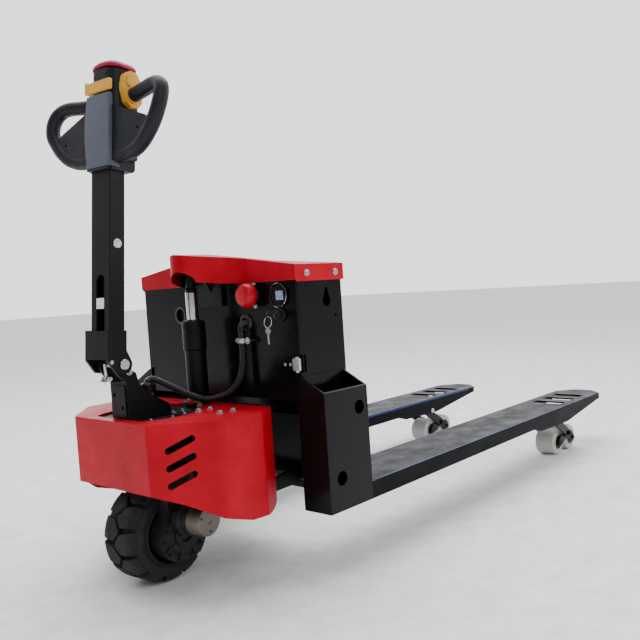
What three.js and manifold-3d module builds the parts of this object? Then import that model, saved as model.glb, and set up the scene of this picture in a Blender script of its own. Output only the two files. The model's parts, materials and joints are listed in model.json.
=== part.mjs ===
// Electric pallet truck: forks and body, a lifting drive base, a steered drive unit and a tiller.
// Millimetres, +Z up, +X towards the fork tips, +Y to the left of someone facing them.
// While drawing, X = 0 is the steering axis and Z = 0 the floor; the finished group is moved so
// that its origin lies at the middle of the footprint.
import * as THREE from 'three';
import { mergeVertices } from 'three/addons/utils/BufferGeometryUtils.js';
import Module from 'manifold-3d';

const wasm = await Module();
wasm.setup();

// ---- driving dimensions -------------------------------------------------------------------
const ORIGIN_X = 736.67; // steering axis to the middle of the footprint
const GAP = 0.3; // clearance left between pieces that touch
const DEG = Math.PI / 180;

const FORK = { heel: 314, deck: 330, tip: 1590, top: 167, centre: 252, half: 80, wall: 5, heelDepth: 38 };
const BODY = { front: 186, back: 324, half: 267, bottom: 357, top: 628, sheet: 4 };
const POCKET = { front: 181.7, back: 313.7, inner: 267.3, outer: 332, bottom: 129, outerTop: 376, innerTop: 410 };
const COVER = { front: 182.5, back: 329, half: 272, skirt: 604, ridge: 678, eaves: 638, sheet: 3 };
const CYLINDER = { x: 127, noseRadius: 40, tubeRadius: 23, collarRadius: 25.5, rodRadius: 13 };
const CYLINDER_Z = { foot: 350.3, collar: 470, mouth: 532, chromeTop: 595, rodFoot: 440, bracket: 640 };
const GUARD = { top: 350, sheet: 5, opening: 108, openingFront: -72 };
const PLATE = { top: 344.7, bottom: 332, half: 178, bore: 80 };
const WHEEL = { radius: 105, half: 54, rim: 62 };
const STEER_REST = 4.6 * DEG;
const PIVOT = { x: -78, z: 461, radius: 7.5 };
const LEAN = 5.3 * DEG;
const LINK = { shaftX: 284, shaftZ: 171, armX: 1255, armZ: 124, lug: 24, lugAngle: 11.9 * DEG, rodY: 225 };
const LOAD = { bogieX: 1352, bogieZ: 62, spacing: 88, radius: 40, half: 33, axle: 8 };
const HEAD = { foot: 382, axis: 530, top: 584, half: 38, front: -27, rear: 34, coverFront: -38, tubeTop: 406 };

// ---- materials ----------------------------------------------------------------------------
const finish = {
  black: { color: 0x17181b, roughness: 0.35, metalness: 0.2 },
  red: { color: 0xc8202b, roughness: 0.35, metalness: 0.1 },
  plastic: { color: 0x26282c, roughness: 0.6, metalness: 0 },
  grey: { color: 0x5b626e, roughness: 0.5, metalness: 0 },
  yellow: { color: 0xe0a52c, roughness: 0.5, metalness: 0 },
  chrome: { color: 0xd5d8dc, roughness: 0.15, metalness: 1 },
  steel: { color: 0x8f9298, roughness: 0.4, metalness: 0.9 },
  rubber: { color: 0x2b2b2d, roughness: 0.9, metalness: 0 },
  nylon: { color: 0xd9d5c8, roughness: 0.6, metalness: 0 },
  battery: { color: 0x3a3d44, roughness: 0.6, metalness: 0 },
};

// ---- shape helpers ------------------------------------------------------------------------
function box(x0, x1, y0, y1, z0, z1) {
  const shape = new THREE.BoxGeometry(Math.abs(x1 - x0), Math.abs(y1 - y0), Math.abs(z1 - z0));
  return shape.translate((x0 + x1) / 2, (y0 + y1) / 2, (z0 + z1) / 2);
}

// Round bar along X, Y or Z from one coordinate to another; at gives the other two in order.
function bar(axis, radius, from, to, at, segments = 18) {
  const shape = new THREE.CylinderGeometry(radius, radius, Math.abs(to - from), segments);
  const middle = (from + to) / 2;
  if (axis === 'x') return shape.rotateZ(Math.PI / 2).translate(middle, at[0], at[1]);
  if (axis === 'y') return shape.translate(at[0], middle, at[1]);
  return shape.rotateX(Math.PI / 2).translate(at[0], at[1], middle);
}

// The argument is a list of [a, b] corners or a ready THREE.Shape.
function outline(points) {
  if (points instanceof THREE.Shape) return points;
  return new THREE.Shape(points.map(([a, b]) => new THREE.Vector2(a, b)));
}

function extrude(points, depth) {
  return new THREE.ExtrudeGeometry(outline(points), { depth, bevelEnabled: false, curveSegments: 6 });
}

// Outline in X and Y, thickness along Z.
function slab(points, z0, z1) {
  return extrude(points, z1 - z0).translate(0, 0, z0);
}

// Outline in X and Z, thickness along Y.
function sidePlate(points, y0, y1) {
  return extrude(points, Math.abs(y1 - y0)).rotateX(Math.PI / 2).translate(0, Math.max(y0, y1), 0);
}

// Outline in Y and Z, thickness along X.
function crossPlate(points, x0, x1) {
  return extrude(points, x1 - x0).rotateX(Math.PI / 2).rotateZ(Math.PI / 2).translate(x0, 0, 0);
}

// Closed profile of [radius, height] turned about the Z or Y axis.
function turned(profile, axis = 'z', segments = 28) {
  const points = [...profile, profile[0]].map(([radius, height]) => new THREE.Vector2(radius, height));
  const shape = new THREE.LatheGeometry(points, segments);
  return axis === 'z' ? shape.rotateX(Math.PI / 2) : shape;
}

function pipe(points, radius, sides, steps) {
  const path = new THREE.CatmullRomCurve3(points.map((p) => new THREE.Vector3(...p)), false, 'centripetal');
  const section = new THREE.Shape();
  section.absarc(0, 0, radius, 0, 2 * Math.PI);
  const options = { steps, extrudePath: path, bevelEnabled: false, curveSegments: sides };
  return new THREE.ExtrudeGeometry(section, options);
}

function toSolid(shape) {
  const bare = shape.clone();
  bare.deleteAttribute('normal');
  bare.deleteAttribute('uv');
  const merged = mergeVertices(bare, 1e-4);
  return new wasm.Manifold(new wasm.Mesh({
    numProp: 3,
    vertProperties: new Float32Array(merged.attributes.position.array),
    triVerts: new Uint32Array(merged.index.array),
  }));
}

function toGeometry(solid) {
  const mesh = solid.getMesh();
  const shape = new THREE.BufferGeometry();
  shape.setAttribute('position', new THREE.BufferAttribute(new Float32Array(mesh.vertProperties), 3));
  shape.setIndex(new THREE.BufferAttribute(new Uint32Array(mesh.triVerts), 1));
  shape.computeVertexNormals();
  return shape;
}

function join(...shapes) {
  return toGeometry(shapes.map(toSolid).reduce((all, next) => all.add(next)));
}

function cut(shape, ...tools) {
  return toGeometry(tools.map(toSolid).reduce((rest, tool) => rest.subtract(tool), toSolid(shape)));
}

function overlap(...shapes) {
  return toGeometry(shapes.map(toSolid).reduce((all, next) => all.intersect(next)));
}

// Outline of a bar with round ends, from one centre to another.
function roundEnded(a, b, radiusA, radiusB = radiusA) {
  const angle = Math.atan2(b[1] - a[1], b[0] - a[0]);
  const shape = new THREE.Shape();
  shape.absarc(b[0], b[1], radiusB, angle - Math.PI / 2, angle + Math.PI / 2);
  shape.absarc(a[0], a[1], radiusA, angle + Math.PI / 2, angle + 1.5 * Math.PI);
  shape.closePath();
  return shape;
}

// ---- scene tree ---------------------------------------------------------------------------
const truck = new THREE.Group();
truck.position.x = -ORIGIN_X;
const steer = new THREE.Group();
steer.rotation.z = STEER_REST;
truck.add(steer);
const tiller = new THREE.Group();
tiller.position.set(PIVOT.x, 0, PIVOT.z);
tiller.rotation.y = LEAN;
steer.add(tiller);

function part(name, shape, look, parent = truck) {
  const mesh = new THREE.Mesh(shape, new THREE.MeshStandardMaterial(finish[look]));
  mesh.name = name;
  parent.add(mesh);
}

const SIDES = [['left', 1], ['right', -1]];

// ---- forks --------------------------------------------------------------------------------
function fork(side) {
  const middle = side * FORK.centre;
  const heelBottom = FORK.top - FORK.heelDepth;
  const profile = [
    [FORK.heel, heelBottom], [1060, heelBottom + 3], [1100, 120], [1225, 116], [1285, 116],
    [1519, 147], [FORK.tip, 153], [FORK.tip, FORK.top], [FORK.deck, FORK.top],
    [FORK.deck, FORK.top - 0.6], [FORK.heel, FORK.top - 0.6], // the body stands on this lower step
  ];
  const corner = 50;
  const plan = [
    [FORK.heel, middle - FORK.half], [FORK.tip - corner, middle - FORK.half],
    [FORK.tip, middle - FORK.half + corner], [FORK.tip, middle + FORK.half - corner],
    [FORK.tip - corner, middle + FORK.half], [FORK.heel, middle + FORK.half],
  ];
  const inside = FORK.half - FORK.wall;
  const channel = box(FORK.heel - 1, 1540, middle - inside, middle + inside, 100, FORK.top - FORK.wall);
  const slots = [1316, 1389, 1463].map((x) => box(x - 18, x + 18, middle - 50, middle + 50, 150, 180));
  const bar0 = sidePlate(profile, middle - FORK.half, middle + FORK.half);
  return cut(overlap(bar0, slab(plan, 90, 200)), channel, ...slots);
}
for (const [name, side] of SIDES) part(`fork_${name}`, fork(side), 'black');

// ---- body ---------------------------------------------------------------------------------
function pocket(side) {
  const wall = BODY.sheet;
  const { inner, outer, bottom, outerTop, innerTop, front, back } = POCKET;
  const shell = [[inner, bottom], [outer, bottom], [outer, outerTop], [inner, innerTop]];
  const hollow = [
    [inner + wall, bottom + wall], [outer - wall, bottom + wall],
    [outer - wall, innerTop + 50], [inner + wall, innerTop + 50],
  ];
  const lap = [[inner - 11, bottom], [outer - 1, bottom], [outer - 1, outerTop], [inner - 11, innerTop + 5]];
  const flip = (points) => points.map(([y, z]) => [side * y, z]);
  return cut(
    join(crossPlate(flip(shell), front, back), crossPlate(flip(lap), front, front + wall)),
    crossPlate(flip(hollow), front + wall, back - wall),
    bar('y', 15, side * (outer - 10), side * (outer + 10), [286, 333]),
    bar('y', 15, side * (outer - 10), side * (outer + 10), [220, 196]),
  );
}
for (const [name, side] of SIDES) part(`side_pocket_${name}`, pocket(side), 'black');

function frontPanel() {
  const sheet = box(BODY.front, BODY.front + BODY.sheet, -BODY.half, BODY.half, BODY.bottom, BODY.top);
  const port = bar('x', 17, BODY.front - 5, BODY.front + 10, [126, 542]);
  const latchGap = box(BODY.front - 1, BODY.front + 10, -BODY.half - 1, -BODY.half + 6, 416, 452);
  return cut(sheet, port, latchGap);
}
part('front_panel', frontPanel(), 'black');

function sidePanel(side) {
  const y0 = side * (BODY.half - BODY.sheet);
  const y1 = side * BODY.half;
  const sheet = box(BODY.front + BODY.sheet + GAP, BODY.back, y0, y1, FORK.top - FORK.heelDepth, BODY.top);
  const forkGap = box(FORK.heel - GAP, BODY.back + 1, y0 * 0.9, y1 * 1.1, 100, FORK.top + GAP);
  const keyhole = sidePlate(roundEnded([276, 560], [277, 586], 12, 3.5), y0 - 5, y1 + 5);
  const eyelet = bar('y', 3, y0 - 5, y1 + 5, [302, 528], 12);
  const latchGap = box(180, 203, y0 * 0.9, y1 * 1.1, 416, 452);
  return side < 0 ? cut(sheet, forkGap, keyhole, eyelet, latchGap) : cut(sheet, forkGap, keyhole, eyelet);
}
for (const [name, side] of SIDES) part(`side_panel_${name}`, sidePanel(side), 'black');

const inner = BODY.half - BODY.sheet - GAP;
part('back_panel', box(BODY.back - BODY.sheet, BODY.back, -inner, inner, FORK.top + GAP, BODY.top), 'black');

function heelPlate() {
  const plate = box(304, FORK.heel - GAP, -inner, inner, FORK.top - FORK.heelDepth, 300);
  const notches = SIDES.map(([, side]) => box(300, 320, side * 200, side * 248, 100, FORK.top - 4));
  const blocks = SIDES.map(([, side]) => box(258, 305, side * 254, side * inner, 145, 197));
  return cut(join(plate, ...blocks), ...notches, bar('y', 16.4, -280, 280, [LINK.shaftX, LINK.shaftZ]));
}
part('heel_plate', heelPlate(), 'black');

const floorTop = BODY.bottom + BODY.sheet;
const cabin = { x0: BODY.front + BODY.sheet + GAP, x1: BODY.back - BODY.sheet - GAP };
part('battery_tray', box(cabin.x0, cabin.x1, -inner, inner, BODY.bottom, floorTop), 'black');
function battery(y0, y1) {
  const z0 = floorTop + GAP;
  const posts = [y0 + 25, y1 - 25].map((y) => bar('z', 8, z0 + 200, z0 + 216, [220, y], 16));
  return join(box(200, 312, y0, y1, z0, z0 + 205), ...posts);
}
part('battery_left', battery(98, 262), 'battery');
part('battery_right', battery(-72, 92), 'battery');

function pumpUnit() {
  const z0 = floorTop + GAP;
  const tank = box(200, 312, -262, -168, z0, z0 + 110);
  const motor = bar('z', 42, z0, z0 + 150, [256, -122]);
  return join(tank, motor, box(230, 282, -175, -120, z0 + 20, z0 + 80));
}
part('pump_unit', pumpUnit(), 'plastic');
part('motor_controller', box(210, 300, 110, 250, 590, 618), 'steel');

// Plan of the top cover, drawn in from its outer face by a margin.
function coverPlan(margin) {
  const half = COVER.half - margin;
  const front = COVER.front + margin;
  const radius = CYLINDER.noseRadius - margin;
  const flareY = 112 - margin;
  const reach = Math.hypot(front - CYLINDER.x, flareY);
  const touch = Math.atan2(flareY, front - CYLINDER.x) + Math.acos(radius / reach);
  const shape = new THREE.Shape();
  shape.moveTo(COVER.back - margin, -half);
  shape.lineTo(COVER.back - margin, half);
  shape.lineTo(front, half);
  shape.lineTo(front, flareY);
  shape.absarc(CYLINDER.x, 0, radius, touch, 2 * Math.PI - touch);
  shape.lineTo(front, -flareY);
  shape.lineTo(front, -half);
  shape.closePath();
  return shape;
}

function gable(drop, base) {
  const half = COVER.half + 10;
  const eaves = COVER.eaves - drop - (10 * (COVER.ridge - COVER.eaves)) / COVER.half;
  const roof = [[-half, base], [half, base], [half, eaves], [0, COVER.ridge - drop], [-half, eaves]];
  return crossPlate(roof, 60, 340);
}

// The ridge falls from the front edge to just above the eaves at the back.
function fall(drop) {
  const { front, back, ridge, eaves } = COVER;
  const roof = [
    [60, 580], [345, 580], [345, eaves - drop], [back, eaves + 4 - drop], [front, ridge - drop], [60, ridge - drop],
  ];
  return sidePlate(roof, -300, 300);
}

function topCover() {
  const outer = overlap(slab(coverPlan(0), COVER.skirt, 700), gable(0, 590), fall(0));
  const hollow = overlap(slab(coverPlan(COVER.sheet), 580, 700), gable(COVER.sheet, 580), fall(COVER.sheet));
  const arch = new THREE.Shape();
  arch.absellipse(-8, COVER.skirt + 11, 32, 24, 0, 2 * Math.PI);
  const under = [[60, 590], [60, 618], [105, 617], [150, 610], [186, 607.5], [186, 590]];
  return cut(outer, hollow, crossPlate(arch, 60, 125), sidePlate(under, -300, 300));
}
part('top_cover', topCover(), 'red');

function rodBracket() {
  const { bracket } = CYLINDER_Z;
  const shelf = box(106, BODY.front - GAP, -22, 22, bracket, bracket + 12);
  const foot = box(BODY.front - 8, BODY.front - GAP, -40, 40, 560, bracket + 12);
  const web = sidePlate([[150, bracket + 1], [179, bracket + 1], [179, 590]], -4, 4);
  return join(shelf, foot, web);
}
part('rod_bracket', rodBracket(), 'black');

function liftRod() {
  const { rodFoot, chromeTop, bracket } = CYLINDER_Z;
  const { rodRadius, x } = CYLINDER;
  const profile = [
    [0, rodFoot], [rodRadius, rodFoot], [rodRadius, chromeTop], [10, chromeTop + 3],
    [10, bracket - GAP], [0, bracket - GAP],
  ];
  return new THREE.LatheGeometry(profile.map(([r, z]) => new THREE.Vector2(r, z)), 28)
    .rotateX(Math.PI / 2).translate(x, 0, 0);
}
part('lift_rod', liftRod(), 'chrome');

// ---- fittings on the front panel ----------------------------------------------------------
const face = BODY.front - GAP;
const STOP = { y: -140, z: 581 };
const GAUGE = { y: -219, z: 578 };
const KEY = { y: -219, z: 537 };
const GLAND = { y: -110, z: 522 };

part('emergency_stop_collar', cut(
  bar('x', 18, face - 8, face, [STOP.y, STOP.z]),
  bar('x', 8.5, face - 20, face - 1.5, [STOP.y, STOP.z]),
), 'plastic');
function stopButton() {
  const back = face - 8 - 4;
  const head = [[0, 24], [14, 23.4], [22, 20], [26, 14.5], [27, 9], [25, 3], [16, 0], [0, 0]];
  const shape = new THREE.LatheGeometry(head.reverse().map(([r, h]) => new THREE.Vector2(r, h)), 32);
  const stem = bar('x', 8, back - 3, back + 6.5, [STOP.y, STOP.z]);
  return join(shape.rotateZ(Math.PI / 2).translate(back, STOP.y, STOP.z), stem);
}
part('emergency_stop_button', stopButton(), 'red');

part('battery_gauge', join(
  bar('x', 26, face - 6, face, [GAUGE.y, GAUGE.z], 32),
  bar('x', 23, face - 9, face - 3, [GAUGE.y, GAUGE.z], 32),
), 'plastic');
part('key_switch', join(
  bar('x', 15, face - 5, face, [KEY.y, KEY.z]),
  bar('x', 10, face - 16, face - 2, [KEY.y, KEY.z]),
), 'plastic');
part('key', join(
  box(face - 26, face - 16 - GAP, KEY.y - 1.2, KEY.y + 1.2, KEY.z - 3.5, KEY.z + 3.5),
  bar('y', 9.5, KEY.y - 1.8, KEY.y + 1.8, [face - 33, KEY.z]),
), 'steel');
part('cable_gland', turnedX([[11, 0], [19, 0], [19, 4], [15, 4], [15, 5.5], [11, 5.5]], GLAND), 'plastic');
part('latch_plate', box(face - 3, face, -255.5, -219, 424, 442), 'steel');
part('latch_lever', join(
  box(face - 14, face - 3 - GAP, -266, -252, 421, 447),
  bar('z', 4, 419, 449, [face - 8, -266]),
), 'steel');

// Ring turned about X, standing out of the panel face at a place given by y and z.
function turnedX(profile, at) {
  const points = [...profile, profile[0]].map(([radius, height]) => new THREE.Vector2(radius, height));
  return new THREE.LatheGeometry(points, 32).rotateZ(Math.PI / 2).translate(face, at.y, at.z);
}

// ---- lift linkage -------------------------------------------------------------------------
const lugDx = LINK.lug * Math.sin(LINK.lugAngle);
const lugDz = LINK.lug * Math.cos(LINK.lugAngle);
const LIFT_ARM = { length: 115, angle: 4.6 * DEG, inner: 140.6, outer: 150 };
const armTip = [
  LINK.shaftX - LIFT_ARM.length * Math.cos(LIFT_ARM.angle),
  LINK.shaftZ - LIFT_ARM.length * Math.sin(LIFT_ARM.angle),
];

function torsionShaft() {
  const centre = [LINK.shaftX, LINK.shaftZ];
  const pieces = [bar('y', 16, -262, 262, centre)];
  for (const [, side] of SIDES) {
    const crank = roundEnded(centre, [LINK.shaftX + lugDx, LINK.shaftZ - lugDz], 19, 9);
    pieces.push(sidePlate(crank, side * 231.3, side * 238));
    pieces.push(bar('y', 3.5, side * 218, side * 234, [LINK.shaftX + lugDx, LINK.shaftZ - lugDz], 12));
    pieces.push(sidePlate(roundEnded(centre, armTip, 19, 13), side * LIFT_ARM.inner, side * LIFT_ARM.outer));
    pieces.push(bar('y', 8, side * 126, side * 145, armTip));
  }
  return join(...pieces);
}
part('torsion_shaft', torsionShaft(), 'black');

for (const [name, side] of SIDES) {
  const rodZ = LINK.shaftZ - lugDz;
  const near = LINK.shaftX + lugDx;
  const far = LINK.armX + lugDx;
  const y = side * LINK.rodY;
  const eyes = [near, far].map((x) => bar('y', 6.8, y - 5, y + 5, [x, rodZ], 16));
  const bore = bar('y', 3.8, y - 8, y + 8, [near, rodZ], 12);
  part(`push_rod_${name}`, cut(join(bar('x', 4.5, near, far, [y, rodZ], 12), ...eyes), bore), 'steel');
}

function loadArm(side) {
  const middle = side * FORK.centre;
  const pivot = [LINK.armX, LINK.armZ];
  const end = [LOAD.bogieX, LOAD.bogieZ];
  const reach = FORK.half - FORK.wall - GAP;
  const tube = bar('y', 13, middle - 50, middle + 50, pivot);
  const pin = bar('y', 8, middle - reach, middle + reach, pivot, 20);
  const cheeks = [-1, 1].map((k) => sidePlate(roundEnded(pivot, end, 15, 13), middle + k * 44, middle + k * 50));
  const lug = sidePlate(roundEnded(pivot, [LINK.armX + lugDx, LINK.armZ + lugDz], 12, 9), side * 231.3, side * 238);
  return cut(join(tube, pin, lug, ...cheeks), bar('y', 8.4, middle - 70, middle + 70, end));
}

function bogie(side) {
  const middle = side * FORK.centre;
  const axles = [-1, 1].map((k) => LOAD.bogieX + (k * LOAD.spacing) / 2);
  const pieces = axles.map((x) => bar('y', LOAD.axle, middle - 40, middle + 40, [x, LOAD.radius], 20));
  for (const k of [-1, 1]) {
    const y0 = middle + k * 35;
    const y1 = middle + k * 41;
    const centre = [LOAD.bogieX, LOAD.bogieZ];
    for (const x of axles) pieces.push(sidePlate(roundEnded(centre, [x, LOAD.radius], 13, 13), y0, y1));
    pieces.push(bar('y', 8, y0, middle + k * 53, centre, 20));
  }
  return join(...pieces);
}

function loadWheel(x, side) {
  const { radius, half, axle } = LOAD;
  const bore = axle + 0.5;
  const profile = [
    [bore, -half], [24, -half], [24, -half + 3], [radius - 5, -half + 1], [radius, -half + 6],
    [radius, half - 6], [radius - 5, half - 1], [24, half - 3], [24, half], [bore, half],
  ];
  return turned(profile, 'y', 28).translate(x, side * FORK.centre, radius);
}

for (const [name, side] of SIDES) {
  part(`load_arm_${name}`, loadArm(side), 'black');
  part(`wheel_bogie_${name}`, bogie(side), 'black');
  part(`load_wheel_${name}_rear`, loadWheel(LOAD.bogieX - LOAD.spacing / 2, side), 'nylon');
  part(`load_wheel_${name}_front`, loadWheel(LOAD.bogieX + LOAD.spacing / 2, side), 'nylon');
}

// ---- drive base: what rises and falls against the body, but does not steer -----------------
function basePlate() {
  const { half, bore, top, bottom } = PLATE;
  const plan = [
    [-88.5, -100], [-88.5, 100], [-50, 140], [30, half], [150, half], [150, 140], [182, 140],
    [182, -140], [150, -140], [150, -half], [30, -half], [-50, -140],
  ];
  const ears = SIDES.map(([, side]) => {
    const ear = [
      [148, bottom + 2], [182, bottom + 2], [182, 272], [207, 260], [207, 142], [148, 142],
    ];
    const slot = roundEnded([163, armTip[1]], [195, armTip[1]], 11);
    return cut(sidePlate(ear, side * 128, side * 140), sidePlate(slot, side * 120, side * 150));
  });
  return cut(join(slab(plan, bottom, top), ...ears), bar('z', bore, 300, 400, [0, 0], 40));
}
part('base_plate', basePlate(), 'black');

const guardPlan = [
  [-94, -129], [-3, -235], [101, -236], [146, -214], [146, 214], [101, 236], [-3, 235], [-94, 129],
];
function insetGuard() {
  return [
    [-89, -127], [0, -230], [99, -231], [141, -210.5], [141, -185], [165, -185],
    [165, 185], [141, 185], [141, 210.5], [99, 231], [0, 230], [-89, 127],
  ];
}

function wheelGuard() {
  const under = new THREE.Shape();
  under.moveTo(-120, 60);
  under.lineTo(-120, 213);
  under.lineTo(-94, 213);
  under.lineTo(-3, 162);
  under.lineTo(60, 141);
  under.lineTo(110, 140);
  under.absarc(116, 170, 30, -Math.PI / 2, 0);
  under.lineTo(160, 170);
  under.lineTo(160, 60);
  under.closePath();
  const ring = overlap(bar('z', GUARD.opening, 300, 400, [0, 0], 48), box(GUARD.openingFront, 200, -200, 200, 300, 400));
  return cut(
    slab(guardPlan, 100, GUARD.top),
    slab(insetGuard(), 90, GUARD.top - GUARD.sheet),
    sidePlate(under, -300, 300),
    ring,
    box(90, 160, -40, 40, 300, 400),
  );
}
part('wheel_guard', wheelGuard(), 'red');

function liftCylinder() {
  const { tubeRadius, collarRadius, rodRadius, x } = CYLINDER;
  const { foot, collar, mouth } = CYLINDER_Z;
  const bore = rodRadius + 0.5;
  const profile = [
    [0, foot - 5], [34, foot - 5], [34, foot + 8], [tubeRadius, foot + 8], [tubeRadius, collar],
    [collarRadius, collar + 2], [collarRadius, mouth - 3], [collarRadius - 2, mouth], [bore, mouth],
    [bore, foot + 6], [0, foot + 6],
  ];
  return new THREE.LatheGeometry(profile.map(([r, z]) => new THREE.Vector2(r, z)), 28)
    .rotateX(Math.PI / 2).translate(x, 0, 0);
}
part('lift_cylinder', liftCylinder(), 'black');
part('slewing_ring', turned([[70.6, 318], [87.5, 318], [87.5, 331.7], [70.6, 331.7]], 'z', 40), 'steel');

// ---- steered drive unit -------------------------------------------------------------------
part('turntable', turned([
  [13, 240.3], [44, 240.3], [44, 318], [70, 318], [70, 332], [79.4, 332], [79.4, 343], [13, 343],
], 'z', 40), 'black', steer);
// Its corners are rounded to swing clear inside the guard.
part('drive_yoke', cut(
  overlap(
    join(box(-44, 44, -84, 50, 226, 240), box(-40, 40, -84, -57, 200, 230)),
    turned([[0, 195], [85.5, 195], [85.5, 245], [0, 245]], 'z', 64),
  ),
  bar('z', 13, 200, 260, [0, 0]),
), 'black', steer);

function gearHousing() {
  const outer = roundEnded([0, WHEEL.radius], [3, 150], 58, 44);
  const hub = bar('y', 58, -62, -46, [0, WHEEL.radius], 36);
  return join(sidePlate(outer, -84, -57), hub, box(-38, 38, -84, -57, 150, 199.7));
}
part('gear_housing', cut(gearHousing(), bar('y', 13.5, -70, -40, [0, WHEEL.radius])), 'plastic', steer);

function tractionMotor() {
  const profile = [
    [0, -156], [28, -156], [30.5, -153], [30.5, -106], [36, -102], [36, -84.3], [0, -84.3],
  ];
  return new THREE.LatheGeometry(profile.map(([r, y]) => new THREE.Vector2(r, y)), 32)
    .translate(3, 0, 139);
}
part('traction_motor', tractionMotor(), 'steel', steer);

function tyre() {
  const { radius, half, rim } = WHEEL;
  const body = [
    [rim, -half + 4], [radius - 24, -half], [radius - 12, -half + 5], [radius - 6, -half + 16],
    [radius - 6, half - 16], [radius - 12, half - 5], [radius - 24, half], [rim, half - 4],
  ];
  const base = turned(body, 'y', 32);
  const lugs = [];
  const count = 12;
  for (let i = 0; i < count; i += 1) {
    for (const side of [-1, 1]) {
      const lug = box(radius - 20, radius - 0.6, 0, side * (half - 2), -10, 10);
      lugs.push(lug.rotateY(((i + (side > 0 ? 0.5 : 0)) * 2 * Math.PI) / count));
    }
  }
  const tread = join(base, ...lugs);
  const limit = [
    [rim, -half], [radius - 14, -half], [radius, -half + 15], [radius, half - 15], [radius - 14, half], [rim, half],
  ];
  return overlap(tread, turned(limit, 'y', 32))
    .translate(0, 0, radius);
}
part('drive_tyre', tyre(), 'rubber', steer);
const rimProfile = [
  [10, -40], [30, -40], [34, -32], [56, -32], [61.6, -48], [61.6, 48], [54, 40], [30, 44], [10, 44],
];
part('drive_rim', join(
  turned(rimProfile, 'y', 28).translate(0, 0, WHEEL.radius),
  bar('y', 12.6, -69.7, 50, [0, WHEEL.radius]),
), 'steel', steer);

// ---- tiller bracket on the turntable ------------------------------------------------------
function tillerBracket() {
  const cheek = new THREE.Shape();
  cheek.moveTo(-69, 350.3);
  cheek.lineTo(36, 350.3);
  cheek.lineTo(32, 366);
  cheek.lineTo(-12, 392);
  cheek.lineTo(-38, 416);
  cheek.lineTo(-44, 440);
  cheek.absarc(PIVOT.x, PIVOT.z, 17, -0.5, Math.PI + 0.6);
  cheek.lineTo(-86, 440);
  cheek.lineTo(-69, 424);
  cheek.closePath();
  const cheeks = [-1, 1].map((k) => sidePlate(cheek, k * 20, k * 26));
  const base = box(-64, 36, -26, 26, 343.3, 352);
  const web = box(-69, -63, -26, 26, 350.3, 424);
  const clip = join(box(-66, -11, -5, 5, 396, 404), bar('z', 15, 392, 408, [0, 0]));
  const bores = [
    bar('y', PIVOT.radius + 0.4, -40, 40, [PIVOT.x, PIVOT.z]),
    bar('z', 9.6, 340, 420, [0, 0], 20),
  ];
  return cut(join(base, web, clip, ...cheeks), ...bores);
}
part('tiller_bracket', tillerBracket(), 'black', steer);

// ---- tiller, drawn from its pivot: X' across the tube, Z' along it --------------------------
function tillerTube() {
  const tube = box(-28, 6, -30, 30, 60, HEAD.tubeTop);
  const hollow = box(-25, 3, -27, 27, 50, HEAD.tubeTop + 10);
  const slot = crossPlate(roundEnded([0, 40], [0, 165], 12.5), -35, -20);
  return cut(tube, hollow, slot);
}
part('tiller_tube', tillerTube(), 'black', tiller);

function tillerYoke() {
  const cheek = new THREE.Shape();
  cheek.moveTo(-37, 66);
  cheek.lineTo(-37, 8);
  cheek.lineTo(-17, -17);
  cheek.lineTo(4, -19);
  cheek.absarc(0, 0, 19, -1.3, 0.4);
  cheek.lineTo(6, 28);
  cheek.lineTo(6, 66);
  cheek.closePath();
  const pieces = [-1, 1].map((k) => sidePlate(cheek, k * 30.3, k * 36.5));
  pieces.push(crossPlate([[-36.5, 10], [36.5, 10], [36.5, 60], [31, 66], [-31, 66], [-36.5, 60]], -37, -28.6));
  pieces.push(box(0, 6, -31, 31, 30, 59.7));
  return cut(join(...pieces), bar('y', PIVOT.radius + 0.3, -40, 40, [0, 0]));
}
part('tiller_yoke', tillerYoke(), 'black', tiller);
part('tiller_pin', join(
  bar('y', PIVOT.radius, -40, 40, [0, 0]),
  bar('y', 10.5, -41, -36.8, [0, 0]),
  bar('y', 10.5, 36.8, 41, [0, 0]),
), 'steel', tiller);
part('gas_spring', join(bar('z', 9, 110, 350, [-11, 0]), bar('z', 4, 30, 120, [-11, 0], 12)), 'steel', tiller);

// ---- operating head -----------------------------------------------------------------------
const knobAxis = [4, HEAD.axis];
const loopPath = (side) => [
  [4, side * 66, HEAD.axis], [0, side * 100, HEAD.axis + 4], [-7, side * 143, HEAD.axis + 8],
  [-15, side * 169, HEAD.axis], [-22, side * 181, HEAD.axis - 23], [-23, side * 177, HEAD.axis - 48],
  [-20, side * 160, HEAD.axis - 78], [-17, side * 136, HEAD.axis - 104], [-14, side * 106, HEAD.axis - 123],
];
const LOOP_RADIUS = 13;

function handleLoop(side) {
  const stub = bar('y', 9, side * (HEAD.half + GAP), side * 72, knobAxis, 18);
  return join(pipe(loopPath(side), LOOP_RADIUS, 6, 24), stub);
}
for (const [name, side] of SIDES) part(`handle_loop_${name}`, handleLoop(side), 'plastic', tiller);

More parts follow.
